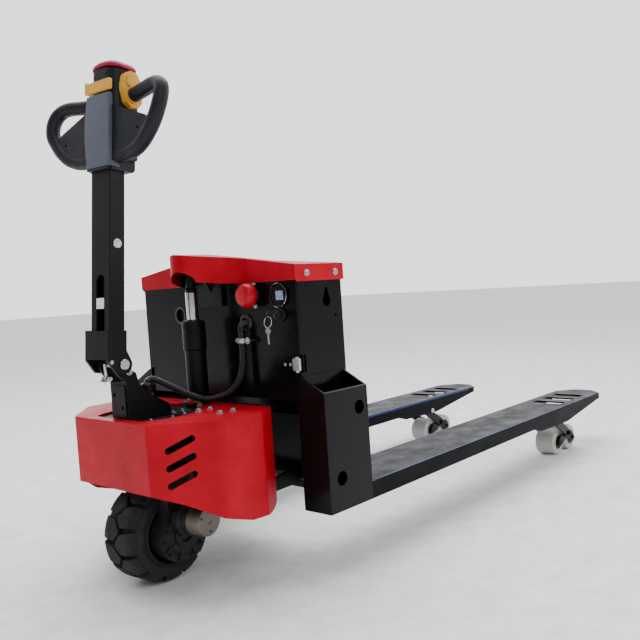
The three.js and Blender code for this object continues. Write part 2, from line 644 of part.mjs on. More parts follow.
function headBody() {
  const { foot, top, half, front, rear, tubeTop } = HEAD;
  const wing = new THREE.Shape();
  wing.moveTo(0, 392);
  wing.lineTo(60, 394);
  wing.bezierCurveTo(112, 400, 146, 428, 150, 458);
  wing.lineTo(136, 470);
  wing.lineTo(30, 506);
  wing.lineTo(-30, 506);
  wing.lineTo(-136, 470);
  wing.lineTo(-150, 458);
  wing.bezierCurveTo(-146, 428, -112, 400, -60, 394);
  wing.closePath();
  const plan = new THREE.Shape();
  plan.moveTo(rear, half - 5);
  plan.lineTo(rear - 5, half);
  plan.absarc(front + 12, half - 12, 12, Math.PI / 2, Math.PI);
  plan.absarc(front + 12, 12 - half, 12, Math.PI, 1.5 * Math.PI);
  plan.lineTo(rear - 5, -half);
  plan.lineTo(rear, 5 - half);
  plan.closePath();
  const core = slab(plan, 404, top);
  const collar = box(front, 26, -36, 36, foot, 412);
  const socket = box(-28 - GAP, 6 + GAP, -30 - GAP, 30 + GAP, 300, tubeTop + GAP);
  const recess = box(front + 8, rear - 8, 8 - half, half - 8, top - 14, top + 5);
  const clearances = SIDES.map(([, side]) => pipe(loopPath(side), LOOP_RADIUS + GAP, 6, 24));
  return cut(join(crossPlate(wing, -25, -3), core, collar), socket, recess, ...clearances);
}
part('head_body', headBody(), 'plastic', tiller);

function frontCover() {
  const { foot, half, front, coverFront, tubeTop } = HEAD;
  const top = 533;
  const face0 = new THREE.Shape();
  face0.moveTo(3 - half, foot + 6);
  face0.lineTo(half - 3, foot + 6);
  face0.quadraticCurveTo(half + 5, (top + foot) / 2, half - 2, top);
  face0.lineTo(2 - half, top);
  face0.quadraticCurveTo(-half - 5, (top + foot) / 2, 3 - half, foot + 6);
  return cut(crossPlate(face0, coverFront, front - GAP), box(-28 - GAP, 0, -31, 31, 300, tubeTop + 1));
}
part('head_front_cover', frontCover(), 'grey', tiller);
part('horn_bar', box(HEAD.front - 10, HEAD.front - 2.5, -40.5, 40.5, 537, 561), 'yellow', tiller);

function bellyButton() {
  const { top, half, front, rear } = HEAD;
  const middle = (front + rear) / 2;
  const base = top + 4.3;
  const arch = (centre, reach) => {
    const shape = new THREE.Shape();
    shape.moveTo(centre - reach, base);
    shape.lineTo(centre + reach, base);
    shape.absellipse(centre, base + 4, reach, 17, 0, Math.PI);
    shape.closePath();
    return shape;
  };
  const cap = overlap(
    crossPlate(arch(0, half + 1), front - 1, rear + 1),
    sidePlate(arch(middle, (rear - front) / 2 + 1), -half - 1, half + 1),
  );
  return join(cap, box(front + 10, rear - 10, 10 - half, half - 10, top - 9, base + 1));
}
part('belly_button', bellyButton(), 'red', tiller);

function throttleKnob(side) {
  const axis = HEAD.axis;
  const lobe = new THREE.Shape();
  lobe.moveTo(-7, axis - 19);
  lobe.bezierCurveTo(5, axis - 24, 20, axis - 21, 26, axis - 7);
  lobe.bezierCurveTo(30, axis + 7, 22, axis + 13, 23, axis + 23);
  lobe.bezierCurveTo(24, axis + 43, 8, axis + 52, -6, axis + 46);
  lobe.bezierCurveTo(-19, axis + 36, -21, axis, -7, axis - 19);
  const disc = sidePlate(lobe, side * 42.5, side * 61);
  return cut(disc, bar('y', 9.4, side * 35, side * 70, knobAxis, 18));
}
for (const [name, side] of SIDES) part(`throttle_knob_${name}`, throttleKnob(side), 'yellow', tiller);

// ---- cable conduit from the panel gland to the turntable centre ----------------------------
const conduitRoute = [
  [face - 3, GLAND.y, GLAND.z], [179.5, -110, 522], [174, -110, 519.5], [170.5, -110, 514.5], [169.5, -110, 506], [169.5, -110, 488],
  [169.5, -110, 460], [167, -108, 426], [161, -101, 398], [146, -90, 377], [124, -76, 367], [100, -60, 365], [74, -43, 377],
  [48, -27, 395], [25, -13, 411], [10, -5, 419], [2, -1, 416], [0, 0, 404], [0, 0, 386], [0, 0, 366],
  [0, 0, 350],
];
part('cable_conduit', pipe(conduitRoute, 8.5, 4, 48), 'rubber');

export default truck;
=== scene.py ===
"""Looks of the electric pallet truck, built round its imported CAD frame.

Shapes are drawn in millimetres with X = 0 at the steering axis and Z = 0 on the floor, as the part is,
and are placed in the row frame, in metres, by the TRUCK, STEERED and TILLER matrices.
"""
import json
from math import acos, atan2, cos, degrees, hypot, pi, radians, sin, tan

import bmesh
import bpy
from mathutils import Matrix, Vector


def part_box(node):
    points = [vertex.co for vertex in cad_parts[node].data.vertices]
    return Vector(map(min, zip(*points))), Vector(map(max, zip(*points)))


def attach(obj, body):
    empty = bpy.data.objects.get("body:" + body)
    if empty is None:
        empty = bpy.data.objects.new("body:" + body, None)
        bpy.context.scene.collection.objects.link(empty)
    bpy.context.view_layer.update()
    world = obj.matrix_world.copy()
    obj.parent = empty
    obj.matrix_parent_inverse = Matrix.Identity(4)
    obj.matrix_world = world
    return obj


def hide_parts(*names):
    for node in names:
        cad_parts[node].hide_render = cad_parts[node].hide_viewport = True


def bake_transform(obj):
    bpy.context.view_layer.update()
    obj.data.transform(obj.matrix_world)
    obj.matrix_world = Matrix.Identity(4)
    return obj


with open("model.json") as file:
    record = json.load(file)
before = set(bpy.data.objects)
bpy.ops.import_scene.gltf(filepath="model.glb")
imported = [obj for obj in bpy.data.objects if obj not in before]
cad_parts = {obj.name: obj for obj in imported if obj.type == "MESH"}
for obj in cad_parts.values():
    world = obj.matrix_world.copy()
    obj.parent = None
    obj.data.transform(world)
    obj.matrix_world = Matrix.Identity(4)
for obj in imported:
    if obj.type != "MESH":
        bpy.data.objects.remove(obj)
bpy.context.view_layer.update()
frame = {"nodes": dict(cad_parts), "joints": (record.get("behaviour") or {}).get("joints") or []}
nodes = frame["nodes"]
steering = next(joint for joint in frame["joints"] if joint["name"] == "steering")

# ---- frames and driving dimensions ----
STEER_REST = 4.6  # degrees the drive unit is turned by in the photo
LEAN = 5.3  # degrees the tiller leans by
PIVOT = Vector((-78, 0, 461))
TRUCK = Matrix.Translation((steering["pos_m"][0], 0, 0)) @ Matrix.Scale(0.001, 4)
STEERED = TRUCK @ Matrix.Rotation(radians(STEER_REST), 4, "Z")
TILLER = STEERED @ Matrix.Translation(PIVOT) @ Matrix.Rotation(radians(LEAN), 4, "Y")
SIDES = (("left", 1), ("right", -1))
BOTH = (1, -1)

PANEL = 186
FACE = PANEL - 0.3  # controls stand on this and are let 0.3 mm into the front panel
STOP = (-140, 581)
GAUGE = (-219, 578)
KEY = (-219, 537)
GLAND = (-110, 522)
PORT = (126, 542)
CLAMP = (169.5, -110, 484)

WHEEL_RADIUS = 105
WHEEL_HALF = 54
BLOCKS = 12  # tread blocks round each half of the drive tyre
MOTOR = (3, 139)
CYLINDER = (127, 0)
TURNTABLE_TOP = 343
CLIP_TOP = 404
SPRING_PIN = (-94, 434)
LOAD_RADIUS = 40
FORK_MIDDLE = 252
FORK_HALF = 80
ARM_PIN = (1255, 124)
BOGIE_PIN = (1352, 62)


# ---- camera and light ----
def linked(name, data):
    """Object of some data, in the scene."""
    made = bpy.data.objects.new(name, data)
    bpy.context.collection.objects.link(made)
    return made


def make_camera():
    eye = Vector((-869.6, -1345.4, 590.2))
    yaw, pitch, roll = radians(51.1), radians(-2.9), radians(-3.5)
    ahead = Vector((sin(yaw) * cos(pitch), cos(yaw) * cos(pitch), sin(pitch)))
    level = Vector((cos(yaw), -sin(yaw), 0))
    over = level.cross(ahead)
    right = cos(roll) * level + sin(roll) * over
    up = cos(roll) * over - sin(roll) * level
    data = bpy.data.cameras.new("camera")
    data.lens = 41.27
    data.sensor_width = 36
    data.shift_x = -0.1
    data.clip_end = 50
    camera = linked("camera", data)
    turn = Matrix((right, up, -ahead)).transposed().to_4x4()
    camera.matrix_world = Matrix.Translation(TRUCK @ eye) @ turn
    bpy.context.scene.camera = camera


def softbox(name, place, target, size, power):
    data = bpy.data.lights.new(name, "AREA")
    data.shape = "RECTANGLE"
    data.size, data.size_y = size
    data.energy = power
    light = linked(name, data)
    light.location = place
    toward = Vector(target) - Vector(place)
    light.rotation_euler = toward.to_track_quat("-Z", "Y").to_euler()


def make_studio():
    """Bright surroundings behind the truck, darker ones behind the camera, three lights and a white floor."""
    world = bpy.data.worlds.new("studio")
    world.use_nodes = True
    tree = world.node_tree
    background = tree.nodes["Background"]
    background.inputs["Color"].default_value = (0.97, 0.98, 1, 1)
    look = {0: node(tree, "TexCoord", {}, "Generated"), 1: (0.72, 0.60, 0.35)}
    toward = node(tree, "VectorMath", look, "Value", operation="DOT_PRODUCT")
    tree.links.new(spread(tree, toward, -0.1, 0.6, 0.3, 2.0), background.inputs["Strength"])
    bpy.context.scene.world = world
    softbox("key_light", (-2.6, -3.2, 3.2), (-0.4, 0, 0.5), (1.8, 1.8), 52)
    softbox("side_light", (1.4, -3.8, 1.8), (0.2, 0, 0.3), (2.0, 1.2), 35)
    softbox("top_light", (0.4, 0.8, 4.0), (0, 0, 0), (3.5, 3.5), 130)
    floor = bpy.data.meshes.new("floor")
    reach = 30
    corners = [(-reach, -reach, 0), (reach, -reach, 0), (reach, reach, 0), (-reach, reach, 0)]
    floor.from_pydata(corners, [], [(0, 1, 2, 3)])
    backdrop = linked("floor", floor)
    backdrop.location.z = -0.0005
    floor.materials.append(matt("studio_floor", (0.90, 0.90, 0.91), 0.8, grain=40, depth=0.0002))


# ---- materials ----
def node(tree, kind, inputs, output, **settings):
    """Adds a node, sets it up, gives its inputs constants or sockets, and returns one of its outputs."""
    made = tree.nodes.new("ShaderNode" + kind)
    for key, value in settings.items():
        setattr(made, key, value)
    for key, value in inputs.items():
        socket = made.inputs[key]
        if isinstance(value, bpy.types.NodeSocket):
            tree.links.new(value, socket)
        else:
            socket.default_value = (*value, 1) if socket.type == "RGBA" else value
    return made.outputs[output]


def noise(tree, scale, detail, roughness=0.6, stretch=None):
    place = node(tree, "TexCoord", {}, "Object")
    if stretch:
        place = node(tree, "Mapping", {"Vector": place, "Scale": stretch}, "Vector")
    inputs = {"Vector": place, "Scale": scale, "Detail": detail, "Roughness": roughness}
    return node(tree, "TexNoise", inputs, "Fac")


def spread(tree, source, low, high, start=0.0, stop=1.0):
    """Maps source from low..high to start..stop, clamped."""
    inputs = {"Value": source, "From Min": low, "From Max": high, "To Min": start, "To Max": stop}
    return node(tree, "MapRange", inputs, "Result")


def product(tree, a, b):
    return node(tree, "Math", {0: a, 1: b}, "Value", operation="MULTIPLY")


def mixed(tree, factor, first, second):
    """Colour between two, each a colour or a socket."""
    return node(tree, "Mix", {"Factor": factor, 6: first, 7: second}, 2, data_type="RGBA")


def shaded(name, **constants):
    material = bpy.data.materials.new(name)
    material.use_nodes = True
    shader = material.node_tree.nodes["Principled BSDF"]
    for key, value in constants.items():
        shader.inputs[key.replace("_", " ")].default_value = value
    return material, material.node_tree, shader


def dress(tree, shader, colour, gloss, height, depth):
    """Gives the shader its colour, its roughness and its fine relief."""
    relief = node(tree, "Bump", {"Strength": 1.0, "Distance": depth, "Height": height}, "Normal")
    for key, source in (("Base Color", colour), ("Roughness", gloss), ("Normal", relief)):
        tree.links.new(source, shader.inputs[key])


def facing_up(tree):
    """1 where the surface faces up, 0 on walls and below."""
    normal = node(tree, "NewGeometry", {}, "Normal")
    return spread(tree, node(tree, "SeparateXYZ", {"Vector": normal}, "Z"), 0.55, 0.98)


def paint(name, colour, roughness, dust, shine):
    """Gloss paint: slight orange peel, uneven gloss, faint smears, and dust on what faces up."""
    material, tree, shader = shaded(name, Specular_IOR_Level=shine)
    patches = noise(tree, 9, 6)
    fine = noise(tree, 70, 4)
    deep = tuple(0.82 * c for c in colour)
    light = tuple(min(1, 1.12 * c + 0.001) for c in colour)
    base = mixed(tree, spread(tree, patches, 0.35, 0.65), deep, light)
    specks = spread(tree, noise(tree, 420, 2), 0.66, 0.72, 0, 0.5)
    dusty = product(tree, facing_up(tree), spread(tree, fine, 0.3, 0.75, 0.01, 0.08))
    base = mixed(tree, product(tree, specks, spread(tree, patches, 0.45, 0.6)), base, dust)
    smears = noise(tree, 14, 7, 0.7, (1, 1, 3))
    gloss = spread(tree, smears, 0.3, 0.7, roughness * 0.75, roughness * 1.7)
    dress(tree, shader, mixed(tree, dusty, base, dust), gloss, noise(tree, 260, 2), 0.00002)
    return material


def matt(name, colour, roughness, grain, depth, variation=0.12, scuff=None, shine=0.5):
    """Moulded or textured surface: fine grain, slight tone changes, and scuffs where asked."""
    material, tree, shader = shaded(name, Specular_IOR_Level=shine)
    darker = tuple(c * (1 - variation) for c in colour)
    lighter = tuple(min(1, c * (1 + variation)) for c in colour)
    tone = noise(tree, 16, 6, 0.65)
    base = mixed(tree, spread(tree, tone, 0.3, 0.7), darker, lighter)
    if scuff:
        marks = spread(tree, noise(tree, 45, 8, 0.75, (1, 2.6, 1.4)), 0.56, 0.7, 0, 0.55)
        base = mixed(tree, marks, base, scuff)
    gloss = spread(tree, noise(tree, 60, 4), 0.3, 0.7, roughness * 0.85, roughness * 1.2)
    dress(tree, shader, base, gloss, noise(tree, grain, 3, 0.5), depth)
    return material


def metal(name, colour, roughness, stretch=(1, 1, 14), stain=(0.16, 0.14, 0.12)):
    """Bare or plated metal with a drawn or turned finish and light staining."""
    material, tree, shader = shaded(name, Metallic=1.0)
    lines = noise(tree, 120, 6, 0.7, stretch)
    darker = tuple(0.75 * c for c in colour)
    base = mixed(tree, spread(tree, lines, 0.35, 0.65), darker, colour)
    stains = spread(tree, noise(tree, 30, 7, 0.7), 0.56, 0.74, 0, 0.6)
    gloss = spread(tree, lines, 0.3, 0.7, roughness * 0.7, roughness * 1.4)
    dress(tree, shader, mixed(tree, stains, base, stain), gloss, lines, 0.00003)
    return material


def screen_glass(name):
    """Pale blue-grey display under clear glass, with faint segment rows."""
    material, tree, shader = shaded(name, Coat_Weight=1.0, Coat_Roughness=0.02, Roughness=0.35)
    rows = spread(tree, noise(tree, 110, 1, 0.3, (1, 1, 3.2)), 0.48, 0.56)
    tree.links.new(mixed(tree, rows, (0.30, 0.42, 0.55), (0.16, 0.24, 0.34)), shader.inputs["Base Color"])
    return material


BLACK = paint("black_paint", (0.003, 0.0029, 0.0038), 0.16, dust=(0.05, 0.048, 0.046), shine=0.14)
DECK = paint("fork_paint", (0.004, 0.004, 0.0055), 0.30, dust=(0.06, 0.058, 0.055), shine=0.05)
# blue strips on the fork edges: painted reflection of the rounded edges, not a film on them
PAINTED_EDGE_REFLECTION = matt("painted_blue_edge_reflection", (0.010, 0.030, 0.20), 0.4, 900, 0.00004, shine=0.3)
RED = paint("red_paint", (0.46, 0.0022, 0.015), 0.3, dust=(0.42, 0.02, 0.035), shine=0.08)
SATIN = matt("satin_black_powder_coat", (0.0038, 0.0038, 0.0052), 0.40, 1100, 0.00006, shine=0.16)
PLASTIC = matt("black_plastic", (0.0085, 0.0095, 0.013), 0.46, 1500, 0.00006, shine=0.22)
GREY = matt("slate_plastic", (0.08, 0.092, 0.12), 0.46, 1500, 0.00005, 0.07, shine=0.3)
YELLOW = matt("ochre_plastic", (0.72, 0.36, 0.035), 0.45, 1200, 0.00006, 0.1, (0.45, 0.16, 0.05), 0.3)
CRIMSON = matt("crimson_plastic", (0.30, 0.006, 0.036), 0.42, 1200, 0.00004, shine=0.3)
STOP_RED = matt("signal_red_plastic", (0.46, 0.003, 0.012), 0.30, 900, 0.00003, 0.06, shine=0.25)
CHROME = metal("hard_chrome", (0.74, 0.74, 0.76), 0.10, (9, 9, 1), stain=(0.42, 0.42, 0.44))
ZINC = metal("zinc_plate", (0.52, 0.52, 0.54), 0.28)
CAST = matt("cast_housing", (0.010, 0.0095, 0.0095), 0.5, 350, 0.0003, 0.3, (0.034, 0.031, 0.029), 0.25)
ALLOY = metal("motor_alloy", (0.20, 0.18, 0.155), 0.5, (14, 1, 14), stain=(0.05, 0.042, 0.036))
TYRE = matt("tyre_rubber", (0.017, 0.0165, 0.017), 0.72, 520, 0.00025, 0.35, (0.058, 0.049, 0.045), 0.25)
NYLON = matt("white_nylon", (0.50, 0.49, 0.455), 0.42, 600, 0.00008, 0.05, (0.36, 0.35, 0.32))
CONDUIT = matt("conduit_plastic", (0.01, 0.01, 0.0115), 0.30, 700, 0.00005, shine=0.6)
CELL = matt("battery_case", (0.045, 0.046, 0.052), 0.5, 500, 0.0001)
LABEL = matt("blank_label", (0.80, 0.80, 0.78), 0.5, 300, 0.00002, 0.05)
BRASS = metal("brass_fitting", (0.70, 0.50, 0.22), 0.3)
SCREEN = screen_glass("display_glass")


# ---- outlines ----
def arc(centre, radius, start, stop, steps, squeeze=1.0):
    """Points on an arc, angles in degrees; squeeze scales its second axis."""
    turns = [radians(start + (stop - start) * i / steps) for i in range(steps + 1)]
    return [(centre[0] + radius * cos(t), centre[1] + squeeze * radius * sin(t)) for t in turns]


def rounded(points, radius, steps=5):
    """The outline with its corners turned into arcs. radius is one number or one for each corner."""
    radii = radius if isinstance(radius, (list, tuple)) else [radius] * len(points)
    made = []
    for i, (corner, size) in enumerate(zip(points, radii)):
        here = Vector(corner)
        back = Vector(points[i - 1]) - here
        on = Vector(points[(i + 1) % len(points)]) - here
        bend = back.angle(on)
        if size <= 0 or bend > pi - 0.02:
            made.append(tuple(here))
            continue
        trim = min(size / tan(bend / 2), 0.48 * back.length, 0.48 * on.length)
        size = trim * tan(bend / 2)
        hub = here + (back.normalized() + on.normalized()).normalized() * size / sin(bend / 2)
        first = here + back.normalized() * trim - hub
        last = here + on.normalized() * trim - hub
        swing = first.angle_signed(last)
        for step in range(steps + 1):
            made.append(tuple(hub + Matrix.Rotation(-swing * step / steps, 2) @ first))
    return made


def rectangle(a0, a1, b0, b1, radius):
    return rounded([(a0, b0), (a1, b0), (a1, b1), (a0, b1)], radius)


def both_sides(points):
    """An outline symmetric in its second axis, from one half."""
    return points + [(a, -b) for a, b in reversed(points)]


def oblong(a, b, radius, steps=8, far=None):
    """Bar outline with round ends round the centres a and b; far is the radius at b where it differs."""
    lie = degrees(atan2(b[1] - a[1], b[0] - a[0]))
    tip = arc(b, far or radius, lie - 90, lie + 90, steps)
    return tip + arc(a, radius, lie + 90, lie + 270, steps)


def smooth_path(points, steps):
    """Centripetal Catmull-Rom curve through the points."""
    def between(a, b, low, high):
        return a * (high - t) / (high - low) + b * (t - low) / (high - low)

    spots = [Vector(p) for p in points]
    spots = [2 * spots[0] - spots[1], *spots, 2 * spots[-1] - spots[-2]]
    made = []
    for p0, p1, p2, p3 in zip(spots, spots[1:], spots[2:], spots[3:]):
        t1 = (p1 - p0).length ** 0.5
        t2 = t1 + (p2 - p1).length ** 0.5
        t3 = t2 + (p3 - p2).length ** 0.5
        for step in range(steps):
            t = t1 + (t2 - t1) * step / steps
            a1, a2, a3 = between(p0, p1, 0, t1), between(p1, p2, t1, t2), between(p2, p3, t2, t3)
            made.append(between(between(a1, a2, 0, t2), between(a2, a3, t1, t3), t1, t2))
    return made + [spots[-2]]


def evenly(path, spacing):
    """The same path with points a fixed distance apart."""
    made = [path[0]]
    left = spacing
    for here, on in zip(path, path[1:]):
        length = (on - here).length
        gone = left
        while gone <= length:
            made.append(here.lerp(on, gone / length))
            gone += spacing
        left = gone - length
    return made + [path[-1]]


# ---- solids ----
def spot(axis, a, b, height):
    return {"x": (height, a, b), "y": (a, height, b), "z": (a, b, height)}[axis]


def prism(axis, points, low, high):
    """Outline in the two other axes, thickness along this one."""
    shape = bmesh.new()
    rings = [[shape.verts.new(spot(axis, a, b, h)) for a, b in points] for h in (low, high)]
    shape.faces.new(rings[0])
    shape.faces.new(rings[1][::-1])
    bridge(shape, rings[0], rings[1], True)
    return shape


def block(x0, x1, y0, y1, z0, z1):
    return prism("z", [(x0, y0), (x1, y0), (x1, y1), (x0, y1)], z0, z1)


def bridge(shape, first, second, closed):
    count = len(first)
    for i in range(count if closed else count - 1):
        j = (i + 1) % count
        shape.faces.new((first[i], first[j], second[j], second[i]))


def turned(axis, profile, at=(0, 0), segments=64, base=0, out=1):
    """Profile of (radius, height) turned about an axis through at, given in the two other axes.

    Heights are counted from base along the axis, or against it where out is -1. A profile that starts off
    the axis makes a ring."""
    shape = bmesh.new()
    rings = []
    circle = [2 * pi * i / segments for i in range(segments)]
    for radius, rise in profile:
        height = base + out * rise
        if radius < 1e-6:
            rings.append([shape.verts.new(spot(axis, *at, height))])
            continue
        ring = [spot(axis, at[0] + radius * cos(t), at[1] + radius * sin(t), height) for t in circle]
        rings.append([shape.verts.new(p) for p in ring])
    pairs = list(zip(rings, rings[1:]))
    if profile[0][0] > 0:
        pairs.append((rings[-1], rings[0]))
    for first, second in pairs:
        if len(first) == 1 or len(second) == 1:
            tip, ring = (first[0], second) if len(first) == 1 else (second[0], first)
            for i in range(segments):
                shape.faces.new((tip, ring[i], ring[(i + 1) % segments]))
        else:
            bridge(shape, first, second, True)
    return shape


def rod(axis, radius, low, high, at, segments=40):
    return turned(axis, [(0, low), (radius, low), (radius, high), (0, high)], at, segments)


def swept(path, radius, sides):
    """Round bar along a path; radius is a number or a function of distance along it."""
    shape = bmesh.new()
    ahead = (path[1] - path[0]).normalized()
    side = ahead.orthogonal().normalized()
    circle = [2 * pi * k / sides for k in range(sides)]
    rings = []
    gone = 0
    for i, here in enumerate(path):
        on = (path[min(i + 1, len(path) - 1)] - path[max(i - 1, 0)]).normalized()
        side = ahead.rotation_difference(on) @ side
        ahead = on
        over = ahead.cross(side)
        gone += (here - path[i - 1]).length if i else 0
        size = radius(gone) if callable(radius) else radius
        rings.append([shape.verts.new(here + size * (cos(t) * side + sin(t) * over)) for t in circle])
    for first, second in zip(rings, rings[1:]):
        bridge(shape, first, second, True)
    shape.faces.new(rings[0][::-1])
    shape.faces.new(rings[-1])
    return shape


def merged(*shapes):
    """Several solids in one piece, left as they are where they meet."""
    whole = bmesh.new()
    for shape in shapes:
        loose = bpy.data.meshes.new("loose")
        shape.to_mesh(loose)
        shape.free()
        whole.from_mesh(loose)
        bpy.data.meshes.remove(loose)
    return whole


def moved(shape, matrix):
    bmesh.ops.transform(shape, matrix=matrix, verts=shape.verts)
    return shape


def modify(piece, kind, **settings):
    change = piece.modifiers.new(kind.lower(), kind)
    for key, value in settings.items():
        setattr(change, key, value)


def scratch(shape):
    bmesh.ops.recalc_face_normals(shape, faces=shape.faces)
    mesh = bpy.data.meshes.new("scratch")
    shape.to_mesh(mesh)
    shape.free()
    return linked("scratch", mesh)


def combined(shape, operation, *others):
    """Boolean of a solid with others: DIFFERENCE, UNION or INTERSECT."""
    target = scratch(shape)
    tools = [scratch(other) for other in others]
    for tool in tools:
        modify(target, "BOOLEAN", operation=operation, solver="EXACT", object=tool)
    bpy.context.view_layer.update()
    ready = target.evaluated_get(bpy.context.evaluated_depsgraph_get())
    result = bmesh.new()
    result.from_mesh(ready.to_mesh())
    for loose in (target, *tools):
        mesh = loose.data
        bpy.data.objects.remove(loose)
        bpy.data.meshes.remove(mesh)
    bmesh.ops.remove_doubles(result, verts=result.verts, dist=0.01)
    return result


def cut(shape, *others):
    return combined(shape, "DIFFERENCE", *others)


# ---- pieces ----
# Where a piece is drawn, and the body it moves with.
CHASSIS = (TRUCK, "chassis")
DRIVE_BASE = (TRUCK, "drive_base")
DRIVE_UNIT = (STEERED, "drive_unit")
DRIVE_WHEEL = (STEERED @ Matrix.Translation((0, 0, WHEEL_RADIUS)), "drive_wheel")
ON_TILLER = (TILLER, "tiller")
IGNITION = (TRUCK, "ignition_key")
ROUND = 28  # facets of a round fastener; hexagonal ones have 6


def soften(piece, width, segments=2, angle=32):
    """Rounds a piece's edges by width, in metres, and shades it smooth between its flat faces."""
    for polygon in piece.data.polygons:
        polygon.use_smooth = True
    if not width:
        piece.data.set_sharp_from_angle(angle=radians(angle))
        return
    modify(piece, "BEVEL", width=width, segments=segments, limit_method="ANGLE", angle_limit=radians(angle),
           use_clamp_overlap=True)
    modify(piece, "WEIGHTED_NORMAL", mode="FACE_AREA_WITH_ANGLE", weight=80, keep_sharp=False)


def add(name, shape, home, material, replaces=(), edge=0.0, segments=2, angle=32):
    """Makes a piece from a solid drawn in millimetres. edge is the edge rounding in millimetres.

    home is its matrix and its body. With no body the piece is left unattached."""
    place, body = home
    bmesh.ops.recalc_face_normals(shape, faces=shape.faces)
    bmesh.ops.dissolve_limit(shape, angle_limit=radians(0.5), verts=shape.verts, edges=shape.edges)
    mesh = bpy.data.meshes.new(name)
    shape.to_mesh(mesh)
    shape.free()
    mesh.transform(place)
    mesh.materials.append(material)
    piece = linked(name, mesh)
    soften(piece, edge / 1000, segments, angle)
    if body:
        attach(piece, body)
    if replaces:
        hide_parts(*replaces)
    return piece


def keep(name, material, edge):
    """Keeps a CAD node's shape, with rounded edges and a finished material."""
    piece = nodes[name]
    piece.data.materials.clear()
    piece.data.materials.append(material)
    modify(piece, "WELD", merge_threshold=0.00001)
    modify(piece, "DECIMATE", decimate_type="DISSOLVE", angle_limit=radians(0.6))
    soften(piece, edge / 1000)


def bolt_head(radius, height, axis, at, base, out=1, facets=6):
    """Washer, chamfered head and socket dimple of a fastener standing out from base."""
    rim = 1.2
    washer = [(0, 0), (radius * 1.55, 0), (radius * 1.6, 0.5), (radius * 1.5, rim), (0, rim)]
    dome = [(0, rim), (radius, rim), (radius, height * 0.7), (radius * 0.8, height), (radius * 0.45, height),
            (radius * 0.4, height * 0.55), (0, height * 0.5)]
    return merged(turned(axis, washer, at, ROUND, base=base, out=out),
                  turned(axis, dome, at, facets, base=base, out=out))


def add_bolts(name, home, heads, edge=0.2, material=ZINC):
    """One piece of several fasteners, each given by the values bolt_head takes."""
    add(name, merged(*[bolt_head(*head) for head in heads]), home, material, edge=edge)


make_camera()
make_studio()


# ---- drive unit: guard, wheel, motor ----
GUARD_TOP = 350
GUARD_SHEET = 5
GUARD_HOLE = 108
GUARD_SIDE = [(-94, -129), (-3, -235), (101, -236), (146, -214)]
GUARD_INSIDE = [(-89, -127), (-0.7, -230), (99.5, -231), (141, -210.5), (141, -185), (165, -185)]
TREAD_ROWS = (  # of a tread block: place across the tyre, half its length, radius
    (47, 20.0, 89), (45.5, 20.6, 95.5), (42, 21, 99.8), (37, 21, 102.8), (30, 20.8, 104.2), (20, 20.4, 104.2),
    (10, 20, 104.2), (2, 10.5, 104.2), (-5, 2.2, 104.2),
)


def guard_vents(side):
    """Three slanted vents in the face between the front and the side."""
    start, stop = [Vector((x, -side * y)) for x, y in GUARD_SIDE[:2]]
    on = (stop - start).normalized()
    face = Matrix(((on.x, -on.y, 0, start.x), (on.y, on.x, 0, start.y), (0, 0, 1, 0), (0, 0, 0, 1)))
    vents = [prism("y", oblong((38, low), (85, low + 22), 6.2), -30, 30) for low in (230, 264, 298)]
    return [moved(vent, face) for vent in vents]


def make_guard():
    outside = rounded(both_sides(GUARD_SIDE), [9, 30, 14, 6, 6, 14, 30, 9], 7)
    inside = rounded(both_sides(GUARD_INSIDE), [5, 25, 9, 2, 0, 0, 0, 0, 2, 9, 25, 5], 7)
    under = [(-120, 40), (-120, 213), (-94, 213), (-50, 192), (-3, 162), (60, 141), (108, 139)]
    under += arc((116, 171), 31, -85, 0, 8) + [(180, 171), (180, 40)]
    chord = degrees(acos(-72 / GUARD_HOLE))
    opening = rounded(arc((0, 0), GUARD_HOLE, -chord, chord, 48), [8] + [0] * 47 + [8], 4)
    shell = cut(
        prism("z", outside, 100, GUARD_TOP),
        prism("z", inside, 60, GUARD_TOP - GUARD_SHEET),
        prism("y", under, -300, 300),
        prism("z", opening, 300, 400),
        block(90, 170, -40, 40, 300, 400),
        *guard_vents(1), *guard_vents(-1),
    )
    add("guard_shell", shell, DRIVE_BASE, RED, ["wheel_guard"], 1.1)
    spots = [(x, side * y) for side in BOTH for x, y in ((53, 166), (83, 171), (52, 99), (79, 102))]
    add_bolts("guard_bolts", DRIVE_BASE, [(5.2, 5.5, "z", at, GUARD_TOP, 1, ROUND) for at in spots])


def make_cylinder():
    tube = [
        (0, 345.3), (34, 345.3), (34, 356), (30, 358.5), (24.5, 360), (23, 362), (23, 467), (25.5, 470),
        (25.5, 506), (24.8, 507), (24.8, 509), (25.5, 510), (25.5, 527), (24, 531), (20, 532), (14.2, 532),
        (14.2, 440), (0, 440),
    ]
    wiper = [(13.2, 531.5), (17.5, 531.5), (17, 534.5), (13.2, 535.5)]
    chrome = [(0, 440), (13, 440), (13, 594), (12, 595.5), (0, 595.5)]
    neck = [(0, 595.5), (10.5, 595.5), (12.5, 598), (12.5, 602), (10, 605), (10, 639.5), (0, 639.5)]
    seat = [(0, 639.6), (16, 639.6), (16, 639.9), (0, 639.9)]
    add("cylinder_tube", turned("z", tube, CYLINDER, 72), DRIVE_BASE, SATIN,
        ["lift_cylinder"], 0.3)
    add("cylinder_wiper", turned("z", wiper, CYLINDER, 56), DRIVE_BASE, CONDUIT)
    add("lift_rod_chrome", turned("z", chrome, CYLINDER, 72), CHASSIS, CHROME, ["lift_rod"])
    add("lift_rod_neck", turned("z", neck, CYLINDER, 48), CHASSIS, SATIN)
    add("lift_rod_seat", turned("z", seat, CYLINDER, 6), CHASSIS, ZINC)


